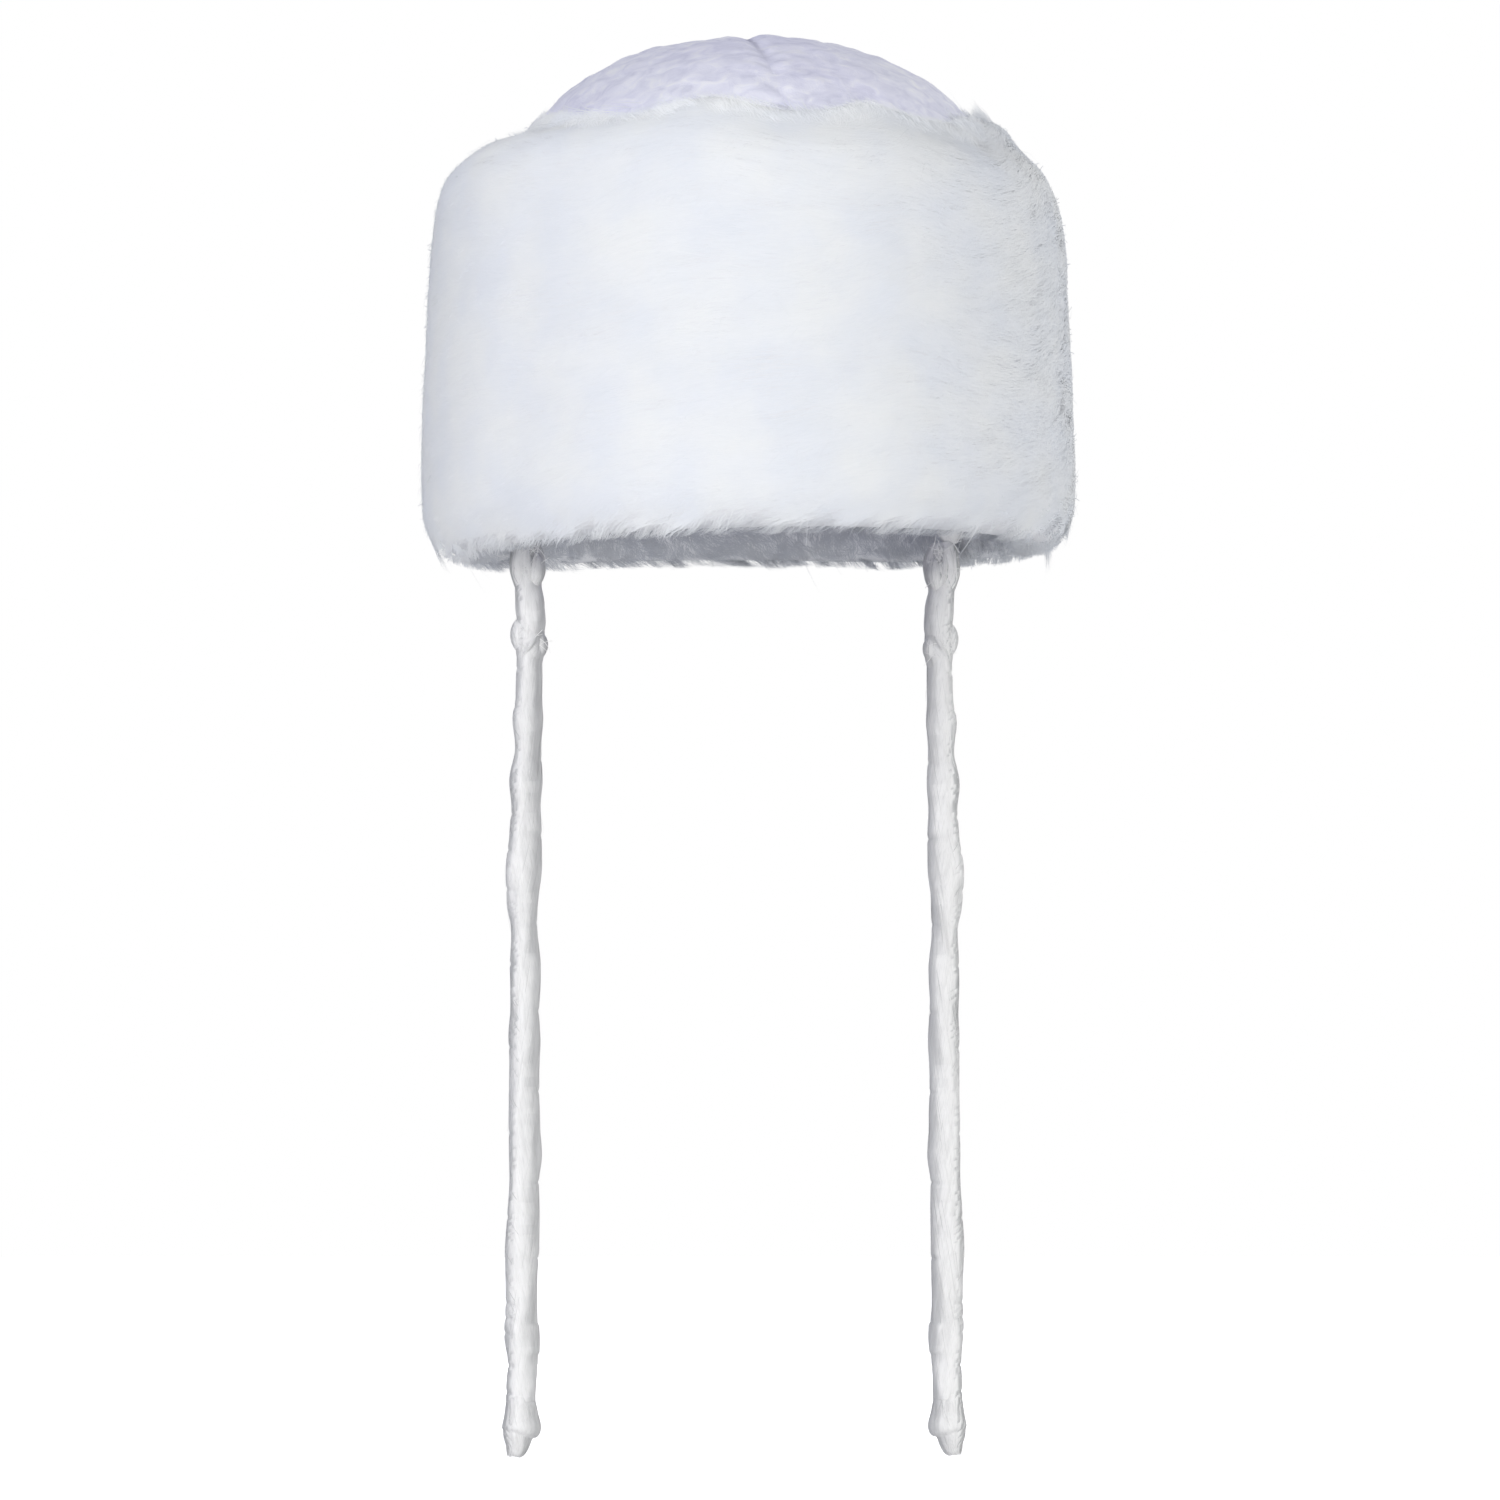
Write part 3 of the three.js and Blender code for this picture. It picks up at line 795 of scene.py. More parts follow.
# How each kind of hair is combed, in mm and radians. slope is how far below level it runs, and
# swirl and turn how far that changes over the band and between locks. A hair comes up from
# depth, is at its rise at crown_at of its length, and its tip sinks by tuck. draw is how far
# a lock closes, roll how far a ribbon twists, and stands how far it faces straight out.
PILE = dict(
    count=134000, length=24.0, slope=0.13, swirl=0.09, turn=0.05,
    lock_jitter=0.05, hair_jitter=0.06, rise=0.8, rise_varies=0.11,
    rise_jitter=0.08, strays=0.012, stray_rise=1.6, hairs_a_lock=18,
    lock_width=2.4, draw=0.2, depth=0.3, crown_at=0.5, tuck=0.45, points=3,
    width=0.34, shade_jitter=0.03, roll=0.25, stands=0.0,
)
CREST = dict(
    PILE, count=9000, length=11.0, slope=-0.25, swirl=0.2, turn=0.2,
    lock_jitter=0.35, hair_jitter=0.2, rise=1.0, depth=1.2, crown_at=0.7,
    tuck=0.4, draw=0.6, hairs_a_lock=10, lock_width=1.4, width=0.24,
)
WISPS = dict(
    PILE, count=14000, length=21.0, slope=0.31, lock_jitter=0.12, rise=0.9,
    hairs_a_lock=42, lock_width=2.1, draw=0.88, points=4, width=0.2,
    crown_at=0.8, tuck=0.2,
)
VEIL = dict(
    CREST, count=14000, length=6.0, slope=-0.9, swirl=0.4, lock_jitter=0.4,
    rise=1.7, rise_varies=0.4, rise_jitter=0.7, depth=0.5, crown_at=1.0,
    tuck=0.0, hairs_a_lock=9, lock_width=1.8, width=0.17, stands=1.0,
)
GUARD = dict(
    PILE, count=11000, length=9.0, slope=0.42, lock_jitter=0.28,
    hair_jitter=0.15, rise=1.4, rise_jitter=0.35, depth=0.2, crown_at=1.0,
    tuck=0.0, strays=0.05, hairs_a_lock=5, draw=0.7, width=0.16, roll=0.6,
    stands=0.1,
)
UNDER = dict(
    PILE, count=9000, length=8.0, slope=0.36, swirl=0.2, turn=0.2,
    lock_jitter=0.25, hair_jitter=0.2, rise=1.0, rise_varies=0.3,
    rise_jitter=0.35, strays=0.02, stray_rise=0.6, hairs_a_lock=14,
    lock_width=1.4, draw=0.7, depth=1.6, crown_at=0.8, tuck=0.2, width=0.26,
)
INNER_HEM = dict(UNDER, count=8000)
INSIDE = dict(
    UNDER, count=20000, length=6.5, slope=-1.05, lock_jitter=0.35, rise=0.35,
    rise_varies=0.1, rise_jitter=0.15, depth=0.8, strays=0.0, hairs_a_lock=6,
)
FUR_SEED = 5
WISPS_TO = 30.0  # the hem's long wisps reach this far back
VEIL_WITHIN = 76.0  # how far to each side hair stands up over the velvet
GUARD_TO = 62.0  # how far to the right the longer guard hairs reach
LIGHT_HEM_FROM = 84.0  # where the hem's inner edge on the right wears the lit fur instead of the painted shade


def chosen(hairs, which):
    """Some of the hairs that comb makes."""
    return {key: values[which] for key, values in hairs.items()}


def fur_ground(form, material):
    """The padded ring that the hair grows from: the form drawn in under the pile."""
    stops = [0, 0.05, 0.12, form.rows[HEEL], form.rows[TURN], 1]
    depth = np.interp(np.linspace(0, 1, form.points.shape[1]), stops, [0.5, 1.6, 2.6, 2.6, 0.9, 0.6])
    outer = (form.points - form.normals * depth[None, :, None])[:, ::3]
    inner = [
        oval(form.angles, out, height)
        for out, height in (
            (TURN_IN["thickness"] / 2, TURN_IN["top"]),
            (TURN_IN["thickness"], TURN_IN["top"] - 2),
            (TURN_IN["thickness"], TURN_IN["floor"]),
            (CROWN["out"] + GAP, TURN_IN["floor"]),
            (CROWN["out"] + GAP, CROWN["plain"]),
        )
    ]
    inner += [crown_points(form.angles, level, -GAP * 2) for level in (1.0, 0.985, 0.955, 0.9)]
    rings = np.concatenate([outer, np.stack(inner, axis=1)], axis=1)
    faces = grid_faces(rings.shape[0], rings.shape[1], wrap_columns=True, wrap_rows=True)
    ground = mesh_object("fur_ground", rings, faces, material)
    dress(ground, "white_fur", "fur_band")


def fur_hair(form):
    """The pile in meshes by quarters of the band, and its short hair at the edges. Where hair
    is rooted goes by shares of the way down the form."""
    material = fur_material("combed_white_fur", FUR_TONE["outside"])
    shaded = fur_material("shaded_white_fur", FUR_TONE["inside"])
    rng = np.random.default_rng(FUR_SEED)
    heel, hem, turn = form.rows[HEEL], form.rows[HEM], form.rows[TURN]
    outer, whole = (0.0, heel), (0.0, 1.0)
    pile = comb(form, rng, PILE, outer, outer)
    wisps = comb(form, rng, WISPS, (heel - 0.05, heel + 0.02), outer)
    veil = comb(form, rng, VEIL, (0.015, 0.085), outer)
    guard = comb(form, rng, GUARD, (0.03, heel), outer)
    inner_hem = comb(form, rng, INNER_HEM, (hem, turn), whole)
    from_middle = np.arctan2(pile["lines"][:, 0, 1], pile["lines"][:, 0, 0])
    quarter = ((from_middle + np.pi) / (2 * np.pi) * 4).astype(int) % 4
    on_right = inner_hem["lines"][:, 0, 0] > LIGHT_HEM_FROM
    pieces = {f"pile_{q + 1}": chosen(pile, quarter == q) for q in range(4)}
    pieces |= {
        "crest": comb(form, rng, CREST, (0.0, 0.07), outer),
        "veil": chosen(veil, np.abs(veil["lines"][:, 0, 0]) < VEIL_WITHIN),
        "guard": chosen(guard, guard["lines"][:, 0, 0] < GUARD_TO),
        "wisps": chosen(wisps, wisps["lines"][:, 0, 1] < WISPS_TO),
        "under": comb(form, rng, UNDER, (heel - 0.02, hem), whole),
        "right_hem": chosen(inner_hem, on_right),
        "inner_hem": chosen(inner_hem, ~on_right),
        "inside": comb(form, rng, INSIDE, (turn - 0.02, 1.0), (turn - 0.03, 1.0)),
        "tuft": tuft(rng),
    }
    for label, hairs in pieces.items():
        # the inside and the inner hem wear a darker copy of the fur: painted shade
        worn = shaded if label in ("inside", "inner_hem") else material
        hair = dress(ribbons(f"fur_{label}", **hairs, material=worn), "white_fur")
        hair.visible_shadow = False  # light goes through white fur


TUFT = {
    "count": 220, "width": 0.28, "bow": 1.6, "faces": (0.6, -0.7, 0.4),
    "from": (88.0, -6.0, 153.0), "from_spread": (1.4, 7.0, 0.8),
    "to": (80.0, -8.0, 163.5), "to_spread": (1.0, 2.2, 1.5),
}


def tuft(rng):
    """The lock of fur that stands up against the crown on the right."""
    count = TUFT["count"]
    root, tip = (
        np.array(TUFT[end]) + rng.normal(0, 1, (count, 3)) * np.array(TUFT[f"{end}_spread"])
        for end in ("from", "to")
    )
    tip[:, 2] -= 0.12 * (tip[:, 1] - TUFT["to"][1]) ** 2 + rng.exponential(2.2, count)
    t = np.linspace(0, 1, 4)[None, :, None]
    lines = root[:, None] * (1 - t) + tip[:, None] * t
    lines[..., 0] += TUFT["bow"] * np.sin(np.pi * t[..., 0])
    out = np.broadcast_to(np.array(TUFT["faces"]), lines.shape)
    widths = np.full((count, 3), TUFT["width"])
    return {
        "lines": lines, "across_from": out, "shade": unit(out), "widths": widths,
        "tones": rng.random(count),
    }


# The sidelocks

# Where each sidelock hangs on the right. The left one is its mirror image.
LOCK_TOP = (76.0, 35.8)
LOCK_FOOT = (78.0, 35.8)
LOCK = {"start": 8.0, "end": -306.0, "tip": -324.6}
# Height, width, and how far the middle strays outwards
SWELLS = (
    (8.0, 8.0, 1.2), (1.0, 8.4, 0.8), (-8.5, 9.6, 0.0), (-16.0, 10.8, -0.8), (-22.0, 10.4, -1.3),
    (-27.0, 9.4, -1.1), (-33.0, 9.2, -0.7), (-49.0, 9.6, -0.4), (-57.0, 11.2, 0.0),
    (-68.0, 9.4, -0.3), (-80.0, 12.2, 0.4), (-89.0, 10.5, 0.2), (-98.0, 11.7, 0.3),
    (-111.0, 13.2, 0.9), (-123.0, 11.4, 1.0), (-134.0, 9.4, 0.5), (-147.0, 11.3, 0.1),
    (-163.0, 10.4, -0.2), (-174.0, 11.6, 0.0), (-185.0, 10.8, 0.1), (-204.0, 11.4, 0.0),
    (-215.0, 11.9, -0.4), (-225.0, 10.8, 0.0), (-248.0, 12.2, 0.3), (-265.0, 11.4, 0.3),
    (-280.0, 12.2, 0.3), (-292.0, 10.8, -0.1), (-304.0, 10.8, 0.2),
)
# Creases: the height, the side from -1 inside to 1 outside, and how far down they run
CREASES = (
    (-39.0, 1.0, 4.0), (-53.0, 1.0, 5.0), (-71.0, -0.8, 6.0), (-92.0, 1.0, 5.5), (-99.5, -1.0, 2.0),
    (-105.0, 0.9, 4.0), (-119.0, 1.0, 5.0), (-131.0, -0.9, 5.0), (-146.0, 1.0, 4.0),
    (-163.0, -1.0, 2.5), (-176.0, 0.9, 5.0), (-192.0, -0.9, 4.0), (-207.0, 1.0, 5.0),
    (-225.0, -1.0, 2.5), (-238.0, 1.0, 4.5), (-252.0, -0.9, 4.0), (-268.5, 1.0, 4.0),
    (-274.0, 1.0, 4.0), (-279.5, 1.0, 4.0), (-291.0, 1.0, 4.0), (-301.0, 1.0, 4.0),
)
GROOVE = {"depth": 0.07, "width": 0.8}  # depth as a share of the radius
SLEEVE = {"top": -276.3, "bottom": -287.2, "proud": 0.5}
TWIST = 0.03  # how far the fibre turns round the sidelock in a millimetre
DOWN_THREAD = np.linspace(0, 1, 7)  # the points of each fine hair
TO_FRONT = 5.1  # how far in front of a knot's middle its loose hairs cross
STREAK = 0.1  # how much finer the hair's pattern is across than along
# The painted shadow line down the outer edge, feathered: how far apart its ticks are, and their reach
FEATHERED_SHADOW = {"pitch": 7.5, "slant": 14.0, "edge": 0.69, "reach": 0.34}
ACROSS = (0.989, -0.149, 0.0)  # the way across both sidelocks
PATCH = 13  # how long each patch of the painted shade is
LOCK_INNER_SHADE = {-1: 0.82, 1: 0.66}  # how strong the painted shade on the inner sides is
LOCK_SEED = {-1: 41, 1: 42}
LOCK_SHADOW_LINE = {-1: 0.72, 1: 1.0}  # how strong the painted shadow lines down the outer edges are


def lock_axis(height):
    """The middle of the right sidelock, on the line from its top to its foot."""
    share = np.asarray(height, float) / LOCK["end"]
    x = LOCK_TOP[0] + (LOCK_FOOT[0] - LOCK_TOP[0]) * share
    y = LOCK_TOP[1] + (LOCK_FOOT[1] - LOCK_TOP[1]) * share
    return np.stack([x, y, np.asarray(height, float)], -1)


def swell(height, column):
    """A column of the table of swells at a height, eased between its rows."""
    table = np.array(SWELLS)[::-1]
    i = np.clip(np.searchsorted(table[:, 0], height) - 1, 0, len(table) - 2)
    t = smoothstep(height, table[i, 0], table[i + 1, 0])
    return table[i, column] * (1 - t) + table[i + 1, column] * t


def strand_radius(height, angle):
    """The sidelock's radius at a height and angle. The angle is 0 on the inner side, a
    quarter turn in front and a half turn on the outer side."""
    twist = angle + height * TWIST + 0.6 * np.sin(height * 0.043)
    form = 1 + 0.035 * np.cos(3 * twist) + 0.02 * np.cos(5 * twist + height * 0.05)
    form = form + 0.012 * np.sin(height * 0.33 + 2 * angle) * np.sin(height * 0.061)
    outer = -np.cos(angle)
    for top, side, run in CREASES:
        here = side * outer
        down = top - height - run * 0.5 * (1 - here)
        groove = np.exp(-((down / GROOVE["width"]) ** 2)) * smoothstep(here, 0.35, 0.9)
        form = form - GROOVE["depth"] * groove
    edges = smoothstep(height, SLEEVE["bottom"] - 0.5, SLEEVE["bottom"] + 0.5)
    edges = edges * (1 - smoothstep(height, SLEEVE["top"] - 0.5, SLEEVE["top"] + 0.5))
    sleeve = SLEEVE["proud"] * edges * smoothstep(-outer, 0.2, 0.7)
    return swell(height, 1) / 2 * form + sleeve


def strand_centre(height):
    centre = lock_axis(height)
    centre[..., 0] += swell(height, 2)
    centre[..., 1] += 0.35 * np.sin(np.asarray(height) * 0.06)
    return centre


def mirrored(points, side):
    return points * np.array([float(side), 1.0, 1.0])


def add_looks(piece, side, twist=TWIST, slant=0.0):
    """Paints shade on the skin that faces the other sidelock, in patches with stepped edges, and a
    ragged line of painted shadow down the outer edge, and marks which way the hair runs."""
    vertices = piece.data.vertices
    normals, places = np.empty(len(vertices) * 3), np.empty(len(vertices) * 3)
    vertices.foreach_get("normal", normals)
    vertices.foreach_get("co", places)
    places = places.reshape(-1, 3) / MM
    height = places[:, 2]
    outwards = side * normals.reshape(-1, 3) @ np.array(ACROSS)
    steps = np.floor(height / PATCH + 0.6 * np.sin(height * 0.31))
    inwards = -outwards - (0.07 * np.sin(steps * 2.4) + 0.03 * np.sin(height * 0.9))
    # painted shade, greyer on the side that faces the other sidelock
    painted_inner_shade = 0.2 * smoothstep(inwards, -0.2, 0.1) + 0.8 * smoothstep(inwards, 0.12, 0.75)
    point_values(piece, "inner", LOCK_INNER_SHADE[side] * painted_inner_shade)
    uneven = 0.7 * np.sin(height * 0.17) + 0.5 * np.sin(height * 0.43 + 1.0)
    # painted shadow: a ragged line down the outer edge, in slanting ticks
    shadow_tick = ((FEATHERED_SHADOW["slant"] * outwards - height) / FEATHERED_SHADOW["pitch"] + uneven) % 1
    start = FEATHERED_SHADOW["edge"] - FEATHERED_SHADOW["reach"] * shadow_tick**2
    strong = 0.8 + 0.2 * np.sin(height * 0.083 + 1.9) - 0.35 * shadow_tick
    point_values(piece, "painted_gap_shade", LOCK_SHADOW_LINE[side] * strong * smoothstep(outwards, start, start + 0.2))
    local = (places - mirrored(lock_axis(height), side)) * np.array([side, 1.0, 1.0])
    x, y = turned(local[:, 0], local[:, 1], twist * height)
    across, run = turned(x, height, slant)
    point_values(piece, "grain", np.stack([across, y, run * STREAK], 1), "FLOAT_VECTOR")


def turned(x, y, angle):
    """Two coordinates as they are along axes that are turned by an angle."""
    return x * np.cos(angle) + y * np.sin(angle), y * np.cos(angle) - x * np.sin(angle)


def frames(path):
    """The directions across a path and towards the front, for each of its points."""
    tangents = unit(np.gradient(path, axis=0))
    across = unit(np.cross(tangents, np.array([0.0, -1.0, 0.0])))
    return across, unit(np.cross(across, tangents))


def tube(path, radii, sides, flat=1.0):
    """A closed tube of hair along a path of points. flat squeezes it from front to back.
    radii is one number for each point of the path, or for each point and side."""
    path, radii = np.asarray(path, float), np.asarray(radii, float)
    across, facing = frames(path)
    angles = np.linspace(0, 2 * np.pi, sides, endpoint=False)
    r = np.broadcast_to(radii.reshape(len(path), -1), (len(path), sides))
    ring = (
        path[:, None]
        + across[:, None] * (r * np.cos(angles))[..., None]
        + facing[:, None] * (r * np.sin(angles) * flat)[..., None]
    )
    points = np.concatenate([ring.reshape(-1, 3), path[:1], path[-1:]])
    last = len(path) * sides
    top = last - sides
    faces = [tuple(f) for f in grid_faces(len(path), sides)[:, ::-1]]
    faces += [(j, (j + 1) % sides, last) for j in range(sides)]
    faces += [(top + (j + 1) % sides, top + j, last + 1) for j in range(sides)]
    return points, faces


def curve_path(controls, count):
    """A smooth path of points, or of points and radii, through a few chosen ones."""
    return smooth_line(np.array(controls, float)[None], count)[0]


def lobe(controls, sides=26, count=44, flat=1.0):
    """A tube through (x, y, z, radius) points."""
    line = curve_path(controls, count)
    return tube(line[:, :3], line[:, 3], sides, flat)


def lobe_threads(rng, controls, count):
    """Fine hairs that lie along the skin of a lobe, and the way each point faces."""
    line = curve_path(controls, 44)
    across, facing = frames(line[:, :3])
    long = rng.uniform(0.25, 0.6, (count, 1))
    share = rng.uniform(0, 1, (count, 1)) * (1 - long) + long * DOWN_THREAD
    angle = rng.uniform(0, 2 * np.pi, (count, 1)) + rng.normal(0, 0.5, (count, 1)) * share
    steps = np.linspace(0, 1, len(line))

    def along(values):
        return np.stack([np.interp(share, steps, v) for v in values.T], -1)

    away = along(across) * np.cos(angle)[..., None] + along(facing) * np.sin(angle)[..., None]
    skin = along(line)
    return skin[..., :3] + away * (skin[..., 3:] + 0.03), away


MELT = {"voxel": 0.38, "rounds": 3}


def fused(name, parts, side, material, slant=0.0):
    """Closed parts melted into one smooth skin, as wound hair packs together."""
    points, faces, start = [], [], 0
    for p, f in parts:
        points.append(mirrored(p, side))
        faces += [tuple(int(i) + start for i in (face if side > 0 else face[::-1])) for face in f]
        start += len(p)
    rough = mesh_object(f"{name}_rough", np.concatenate(points), faces, material)
    remesh = rough.modifiers.new("melt", "REMESH")
    remesh.mode = "VOXEL"
    remesh.voxel_size = MELT["voxel"] * MM
    soften = rough.modifiers.new("soften", "SMOOTH")
    soften.factor = 0.5
    soften.iterations = MELT["rounds"]
    ready = rough.evaluated_get(bpy.context.evaluated_depsgraph_get())
    mesh = bpy.data.meshes.new_from_object(ready)
    mesh.name = name
    mesh.polygons.foreach_set("use_smooth", [True] * len(mesh.polygons))
    mesh.materials.clear()
    mesh.materials.append(material)
    bpy.data.objects.remove(rough)
    made = add_object(name, mesh)
    add_looks(made, side, twist=0.0, slant=slant)
    return made


def moved(controls, centre):
    """Lobes given from a knot's own middle, put in their place on the right sidelock."""
    offset = np.array([*centre, 0.0])
    return [np.array(c) + offset for c in controls]


# Each knot: the height of its middle, how its hair slants, how many fine hairs lie on each
# lobe, and its lobes, as x (outwards), y (backwards), z and radius from its middle
TOP_KNOT = {
    "height": 0.0, "slant": 0.15, "threads": 70,
    "lobes": (
        ((1.6, -0.4, 9.0, 2.6), (2.5, -0.9, 4.5, 3.7), (3.2, -0.8, -1.6, 3.9),
         (2.2, -0.3, -6.0, 3.8), (0.3, 0.0, -9.6, 4.2)),
        ((-2.3, -1.8, 3.0, 0.8), (-2.8, -2.6, 0.2, 2.5), (-2.7, -3.0, -3.6, 3.2),
         (-2.2, -2.7, -7.4, 2.3), (-1.5, -2.2, -10.8, 0.6)),
        ((-1.0, 2.0, 8.6, 2.0), (-2.4, 2.2, 2.6, 3.6), (-2.2, 1.6, -3.4, 3.6),
         (0.3, 0.6, -9.0, 3.8)),
        ((0.8, -3.4, 6.4, 0.7), (0.6, -4.0, 1.0, 1.5), (0.1, -3.7, -4.8, 1.6),
         (-0.6, -3.6, -9.4, 0.6)),
    ),
}
MID_KNOT = {
    "height": -28.6, "slant": 0.6, "threads": 60,
    "lobes": (
        ((-0.9, 0.0, 9.5, 4.6), (-0.9, 0.0, 4.0, 5.2), (-0.9, 0.0, -4.0, 5.2),
         (-0.7, 0.0, -9.5, 4.3)),
        ((1.4, 0.6, 9.0, 1.0), (2.3, 0.4, 5.6, 3.1), (2.6, 0.3, 2.4, 3.8),
         (2.3, 0.3, -1.2, 3.3), (1.3, 0.4, -5.0, 1.4)),
        ((-3.4, -1.2, 3.0, 0.9), (-4.1, -1.6, 0.6, 2.5), (-4.3, -1.6, -1.9, 2.9),
         (-3.9, -1.2, -4.7, 2.3), (-3.0, -0.8, -7.6, 0.9)),
        ((1.6, -4.2, -5.4, 0.5), (0.0, -4.7, -2.6, 1.1), (-1.8, -4.6, 0.4, 1.1),
         (-3.2, -4.0, 3.2, 0.5)),
    ),
}
END_KNOT = {
    "height": -312.0, "slant": 0.1, "threads": 80,
    "lobes": (
        ((0.2, 0.0, 11.5, 4.6), (0.2, 0.0, 7.3, 5.5), (0.1, 0.0, 2.6, 6.3),
         (0.0, 0.0, -0.9, 7.1), (0.1, 0.0, -2.8, 6.9), (0.4, 0.0, -4.4, 5.4)),
        ((1.2, 0.0, 0.0, 5.7), (1.3, -0.2, -5.0, 5.3), (1.5, -0.2, -8.3, 4.2),
         (2.3, 0.0, -11.0, 3.0), (2.6, 0.0, -11.9, 2.0)),
    ),
}
KNOTS = {"top_knot": TOP_KNOT, "mid_knot": MID_KNOT, "end_knot": END_KNOT}
ROOT = {
    "angle": 0.36, "inset": 4.0, "low": 8.4, "high": 23.8, "flat": 0.5,
    "radii": (2.4, 4.6, 6.0, 6.0, 5.2, 3.0),
}
# The frayed brush at the foot: height, radius, and how far out from the axis its middle lies
BRUSH = (
    (-324.6, 2.6, 2.7), (-323.0, 3.1, 2.3), (-320.3, 4.25, 1.5), (-317.0, 5.35, 1.3),
    (-314.0, 5.8, 1.2),
)


def knot(name, recipe, side, material):
    lobes = moved(recipe["lobes"], lock_axis(recipe["height"]))
    made = fused(name, [lobe(c) for c in lobes], side, material, recipe["slant"])
    return dress(made, "white_hair")


def sewn_root(name, side, material):
    """The flattened root, sewn along the turned-in fur above the first knot."""
    radii = np.array(ROOT["radii"])
    heights = np.linspace(ROOT["low"], ROOT["high"], len(radii))
    path = oval(np.full(len(radii), ROOT["angle"]), -ROOT["inset"], heights)
    skin = lobe(np.concatenate([path, radii[:, None]], 1), sides=30, count=30, flat=ROOT["flat"])
    return dress(fused(name, [skin], side, material), "white_hair")


def strand_mesh(name, side, material):
    steps, sides = 520, 32
    heights = np.linspace(LOCK["start"], LOCK["end"], steps)
    angles = np.linspace(0, 2 * np.pi, sides, endpoint=False)
    ends = np.minimum(1, np.minimum(np.arange(steps), np.arange(steps)[::-1]) / 5 + 0.4)
    radii = strand_radius(heights[:, None], angles[None, :]) * ends[:, None]
    points, faces = tube(strand_centre(heights), radii, sides)
    if side < 0:
        faces = [f[::-1] for f in faces]
    strand = mesh_object(name, mirrored(points, side), faces, material)
    add_looks(strand, side)
    return strand


def strand_threads(rng, count, angles, top, long, twist=TWIST, stand=0.05):
    """Fine hairs along the strand's skin. angles, top and long are the ranges of where they
    start round it, how high and how far they run, and twist how far they turn in a mm."""
    start = rng.uniform(*top, (count, 1))
    heights = start - rng.uniform(*long, (count, 1)) * DOWN_THREAD
    angle = rng.uniform(*angles, (count, 1)) + (start - heights) * twist
    away = np.stack([-np.cos(angle), -np.sin(angle), 0 * angle], -1)
    rise = stand * np.sin(np.pi * DOWN_THREAD)
    return strand_centre(heights) + away * (strand_radius(heights, angle) + rise)[..., None], away


def brush_threads(rng, count):
    """The frayed brush at the foot."""
    levels, radii, middles = np.array(BRUSH).T
    top = rng.uniform(-321.0, -315.0, (count, 1))
    bottom = LOCK["tip"] + rng.uniform(0.0, 1.5, (count, 1)) ** 1.5
    heights = top + (bottom - top) * DOWN_THREAD
    radius = np.interp(heights, levels, radii) * rng.uniform(0.3, 1.0, (count, 1)) ** 0.3
    middle = lock_axis(END_KNOT["height"])[0] + np.interp(heights, levels, middles)
    angle = rng.uniform(0, 2 * np.pi, (count, 1)) + 0 * heights
    away = unit(np.stack([np.cos(angle), 0.86 * np.sin(angle), 0 * angle], -1))
    lines = np.stack([middle, np.full_like(middle, LOCK_FOOT[1]), heights], -1)
    return lines + away * np.array([1, 0.9, 0]) * (radius[..., None] + 0.06), away


def stray_threads(rng, count, height):
    """Loose hairs that cross in front of a knot, each a shallow arch."""
    place = lock_axis(height) - np.array([0.0, TO_FRONT, 0.0])
    middle = place + rng.normal(0, 1, (count, 1, 3)) * np.array([2.4, 0.4, 2.6])
    heading = rng.uniform(0, 2 * np.pi, (count, 1))
    t = np.linspace(-1, 1, len(DOWN_THREAD))
    bend = rng.normal(0, 0.8, (count, 1)) * t**2
    long = rng.uniform(1.5, 4.5, (count, 1)) * t
    way = np.stack([
        long * np.cos(heading) - bend * np.sin(heading),
        0.9 * t**2 + 0 * long,
        long * np.sin(heading) + bend * np.cos(heading),
    ], -1)
    return middle + way, np.broadcast_to(np.array([0.0, -1.0, 0.0]), way.shape)


def thread_piece(name, bundles, side, rng, material):
    """Bundles of fine hairs as one mesh. Each is (lines, away), a width and how much painted shade in
    the gaps darkens it.
    """
    counts = [len(hairs[0]) for hairs, _, _ in bundles]
    lines, away = (
        np.concatenate([mirrored(hairs[i], side) for hairs, _, _ in bundles]) for i in (0, 1)
    )
    width = np.repeat([width for _, width, _ in bundles], counts)[:, None]
    # how much each hair is darkened: painted shade in the gaps between hairs
    painted_gap_shade = np.repeat([painted_gap_shade for _, _, painted_gap_shade in bundles], counts) * rng.random(len(lines))
    hairs, points = lines.shape[:2]
    made = ribbons(
        name, lines=lines, across_from=away, shade=away,
        widths=width * rng.uniform(0.7, 1.3, (hairs, 1)) * np.ones((1, points - 1)),
        tones=rng.random(hairs), material=material,
    )
    # painted shade on the threads' side that faces the other sidelock
    inner = smoothstep(on_ribbon(-side * away[..., 0]), 0.2, 0.5)
    each = inner.shape[1]
    point_values(made, "inner", LOCK_INNER_SHADE[side] * inner)
    point_values(made, "painted_gap_shade", np.repeat(painted_gap_shade, each))
    offsets = np.repeat(rng.uniform(0, 40, (hairs, 3)), each, axis=0)
    point_values(made, "grain", offsets, "FLOAT_VECTOR")
    return dress(made, "white_hair")


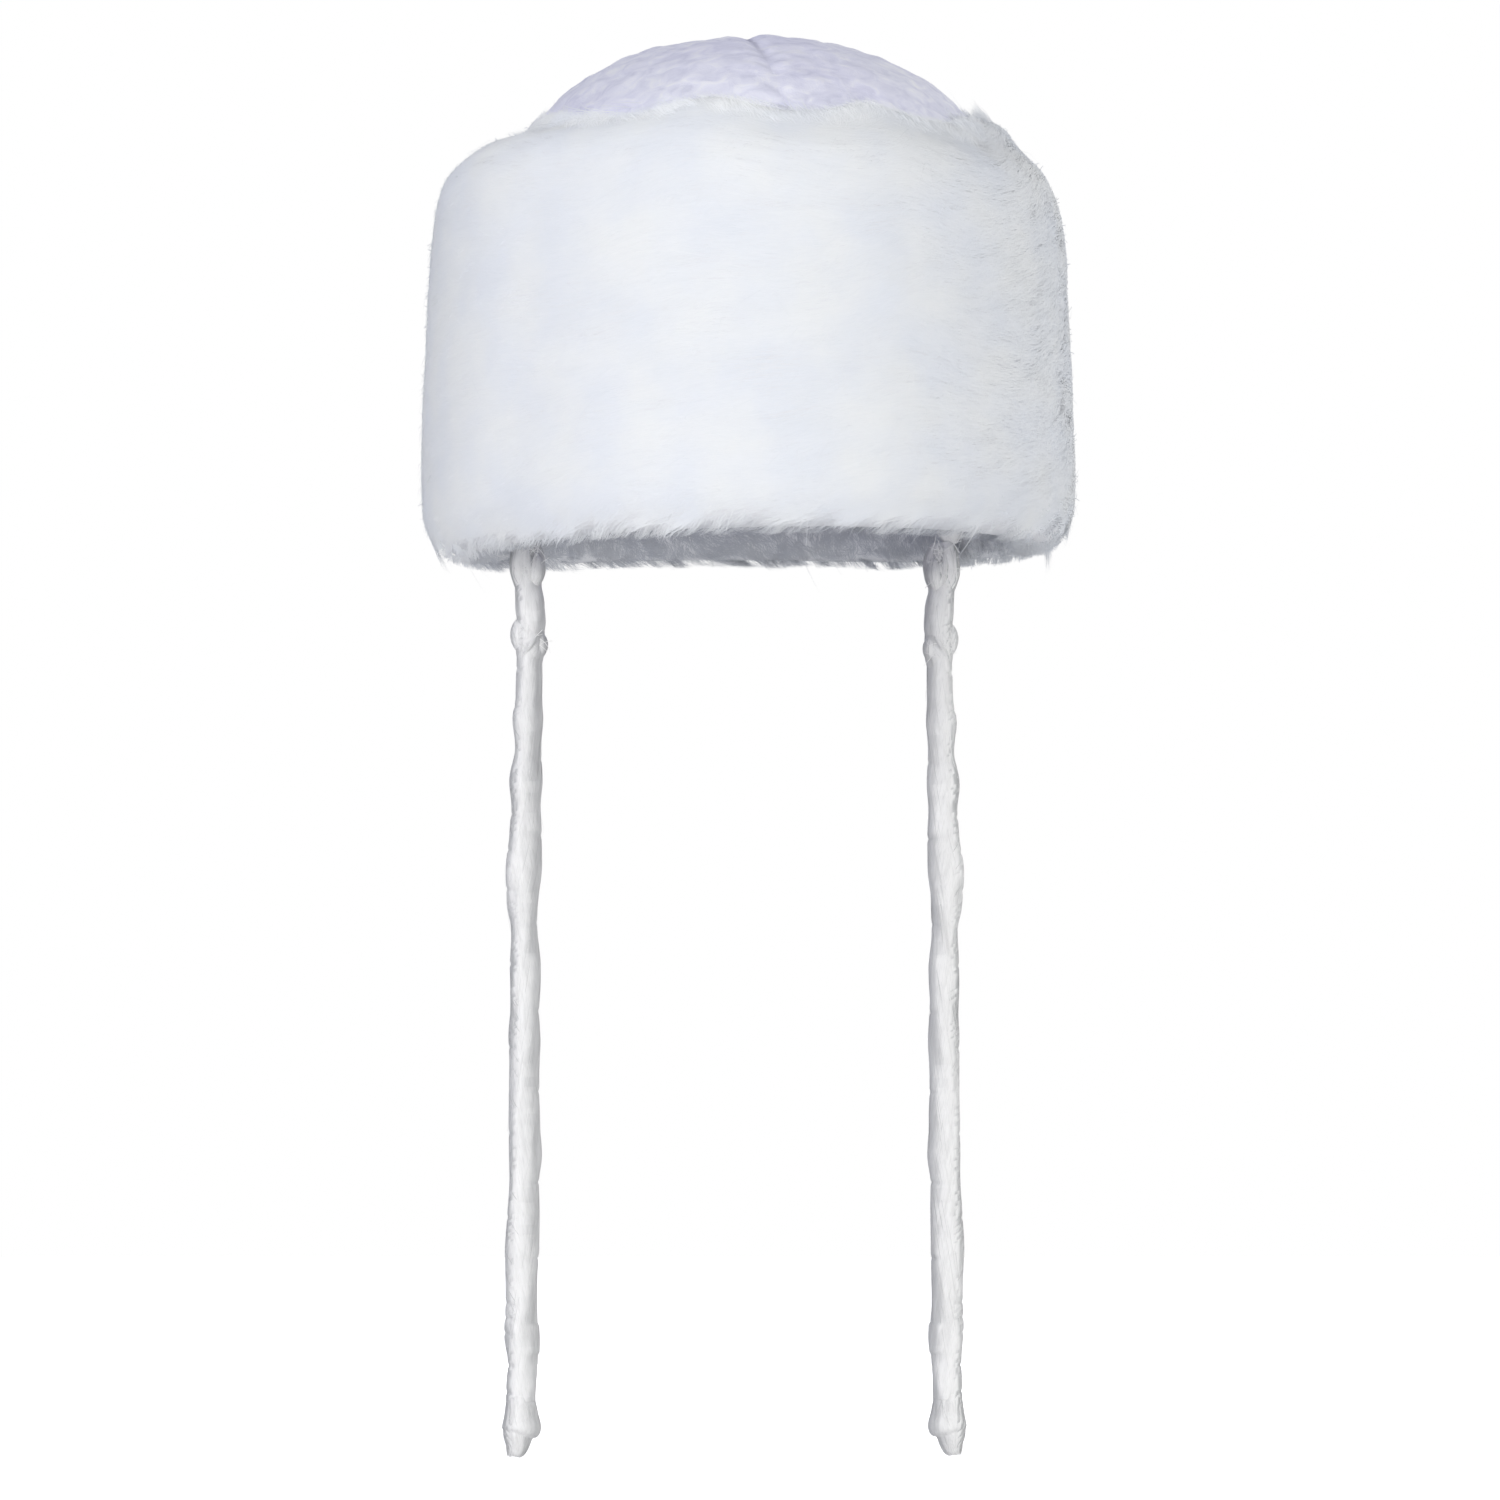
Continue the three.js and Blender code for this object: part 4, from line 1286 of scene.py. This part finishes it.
def threads(name, side, material):
    """All the fine hairs of one sidelock: on the strand, the knots and the loose ends."""
    rng = np.random.default_rng(LOCK_SEED[side])
    full = (0, 2 * np.pi)
    length = (LOCK["end"] + 30, LOCK["start"] - 16)
    edge = (np.pi - 0.75, np.pi + 0.1)  # round the outer side, where the painted shadow line runs
    # the last number of each bundle darkens its threads: painted shade in the gaps between them
    bundles = [
        (strand_threads(rng, 420, full, length, (10, 30)), 0.13, 0.1),
        (strand_threads(rng, 150, full, length, (8, 20)), 0.16, 0.3),
        (strand_threads(rng, 30, full, length, (6, 14), stand=0.9), 0.1, 0.0),
        (strand_threads(rng, 70, edge, (-290, -40), (2, 5), -0.13, 0.12), 0.14, 0.7),
        (brush_threads(rng, 330), 0.2, 0.15),
        (brush_threads(rng, 60), 0.2, 0.9),
        (stray_threads(rng, 20, 5.0), 0.22, 0.0),
        (stray_threads(rng, 22, -3.0), 0.18, 0.0),
        (stray_threads(rng, 16, MID_KNOT["height"]), 0.2, 0.0),
    ]
    for recipe in KNOTS.values():
        for controls in moved(recipe["lobes"], lock_axis(recipe["height"])):
            bundles.append((lobe_threads(rng, controls, recipe["threads"]), 0.16, 0.25))
    return thread_piece(name, bundles, side, rng, material)


def sidelock(label, side, hair):
    """One sidelock: its root, knots, strand and threads."""
    name = f"sidelock_{label}"
    strand = strand_mesh(f"{name}_length", side, hair)
    dress(strand, "white_hair", f"{name}_strand", f"{name}_neck")
    for part, recipe in KNOTS.items():
        made = knot(f"{name}_wound_{part}", recipe, side, hair)
        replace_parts(made, f"{name}_{part}")
    threads(f"{name}_threads", side, hair)
    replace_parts(sewn_root(f"{name}_sewn_root", side, hair), f"{name}_root")
    heights = np.linspace(LOCK["start"], LOCK["end"], 38)
    path = mirrored(strand_centre(heights), side) * MM


make_camera()
light_scene()

velvet = velvet_material()
crown_panel("left", -1, velvet)
crown_panel("right", 1, velvet)

form = FurForm()
fur_ground(form, backing_material())
fur_hair(form)

hair = hair_material()
sidelock("left", -1, hair)
sidelock("right", 1, hair)
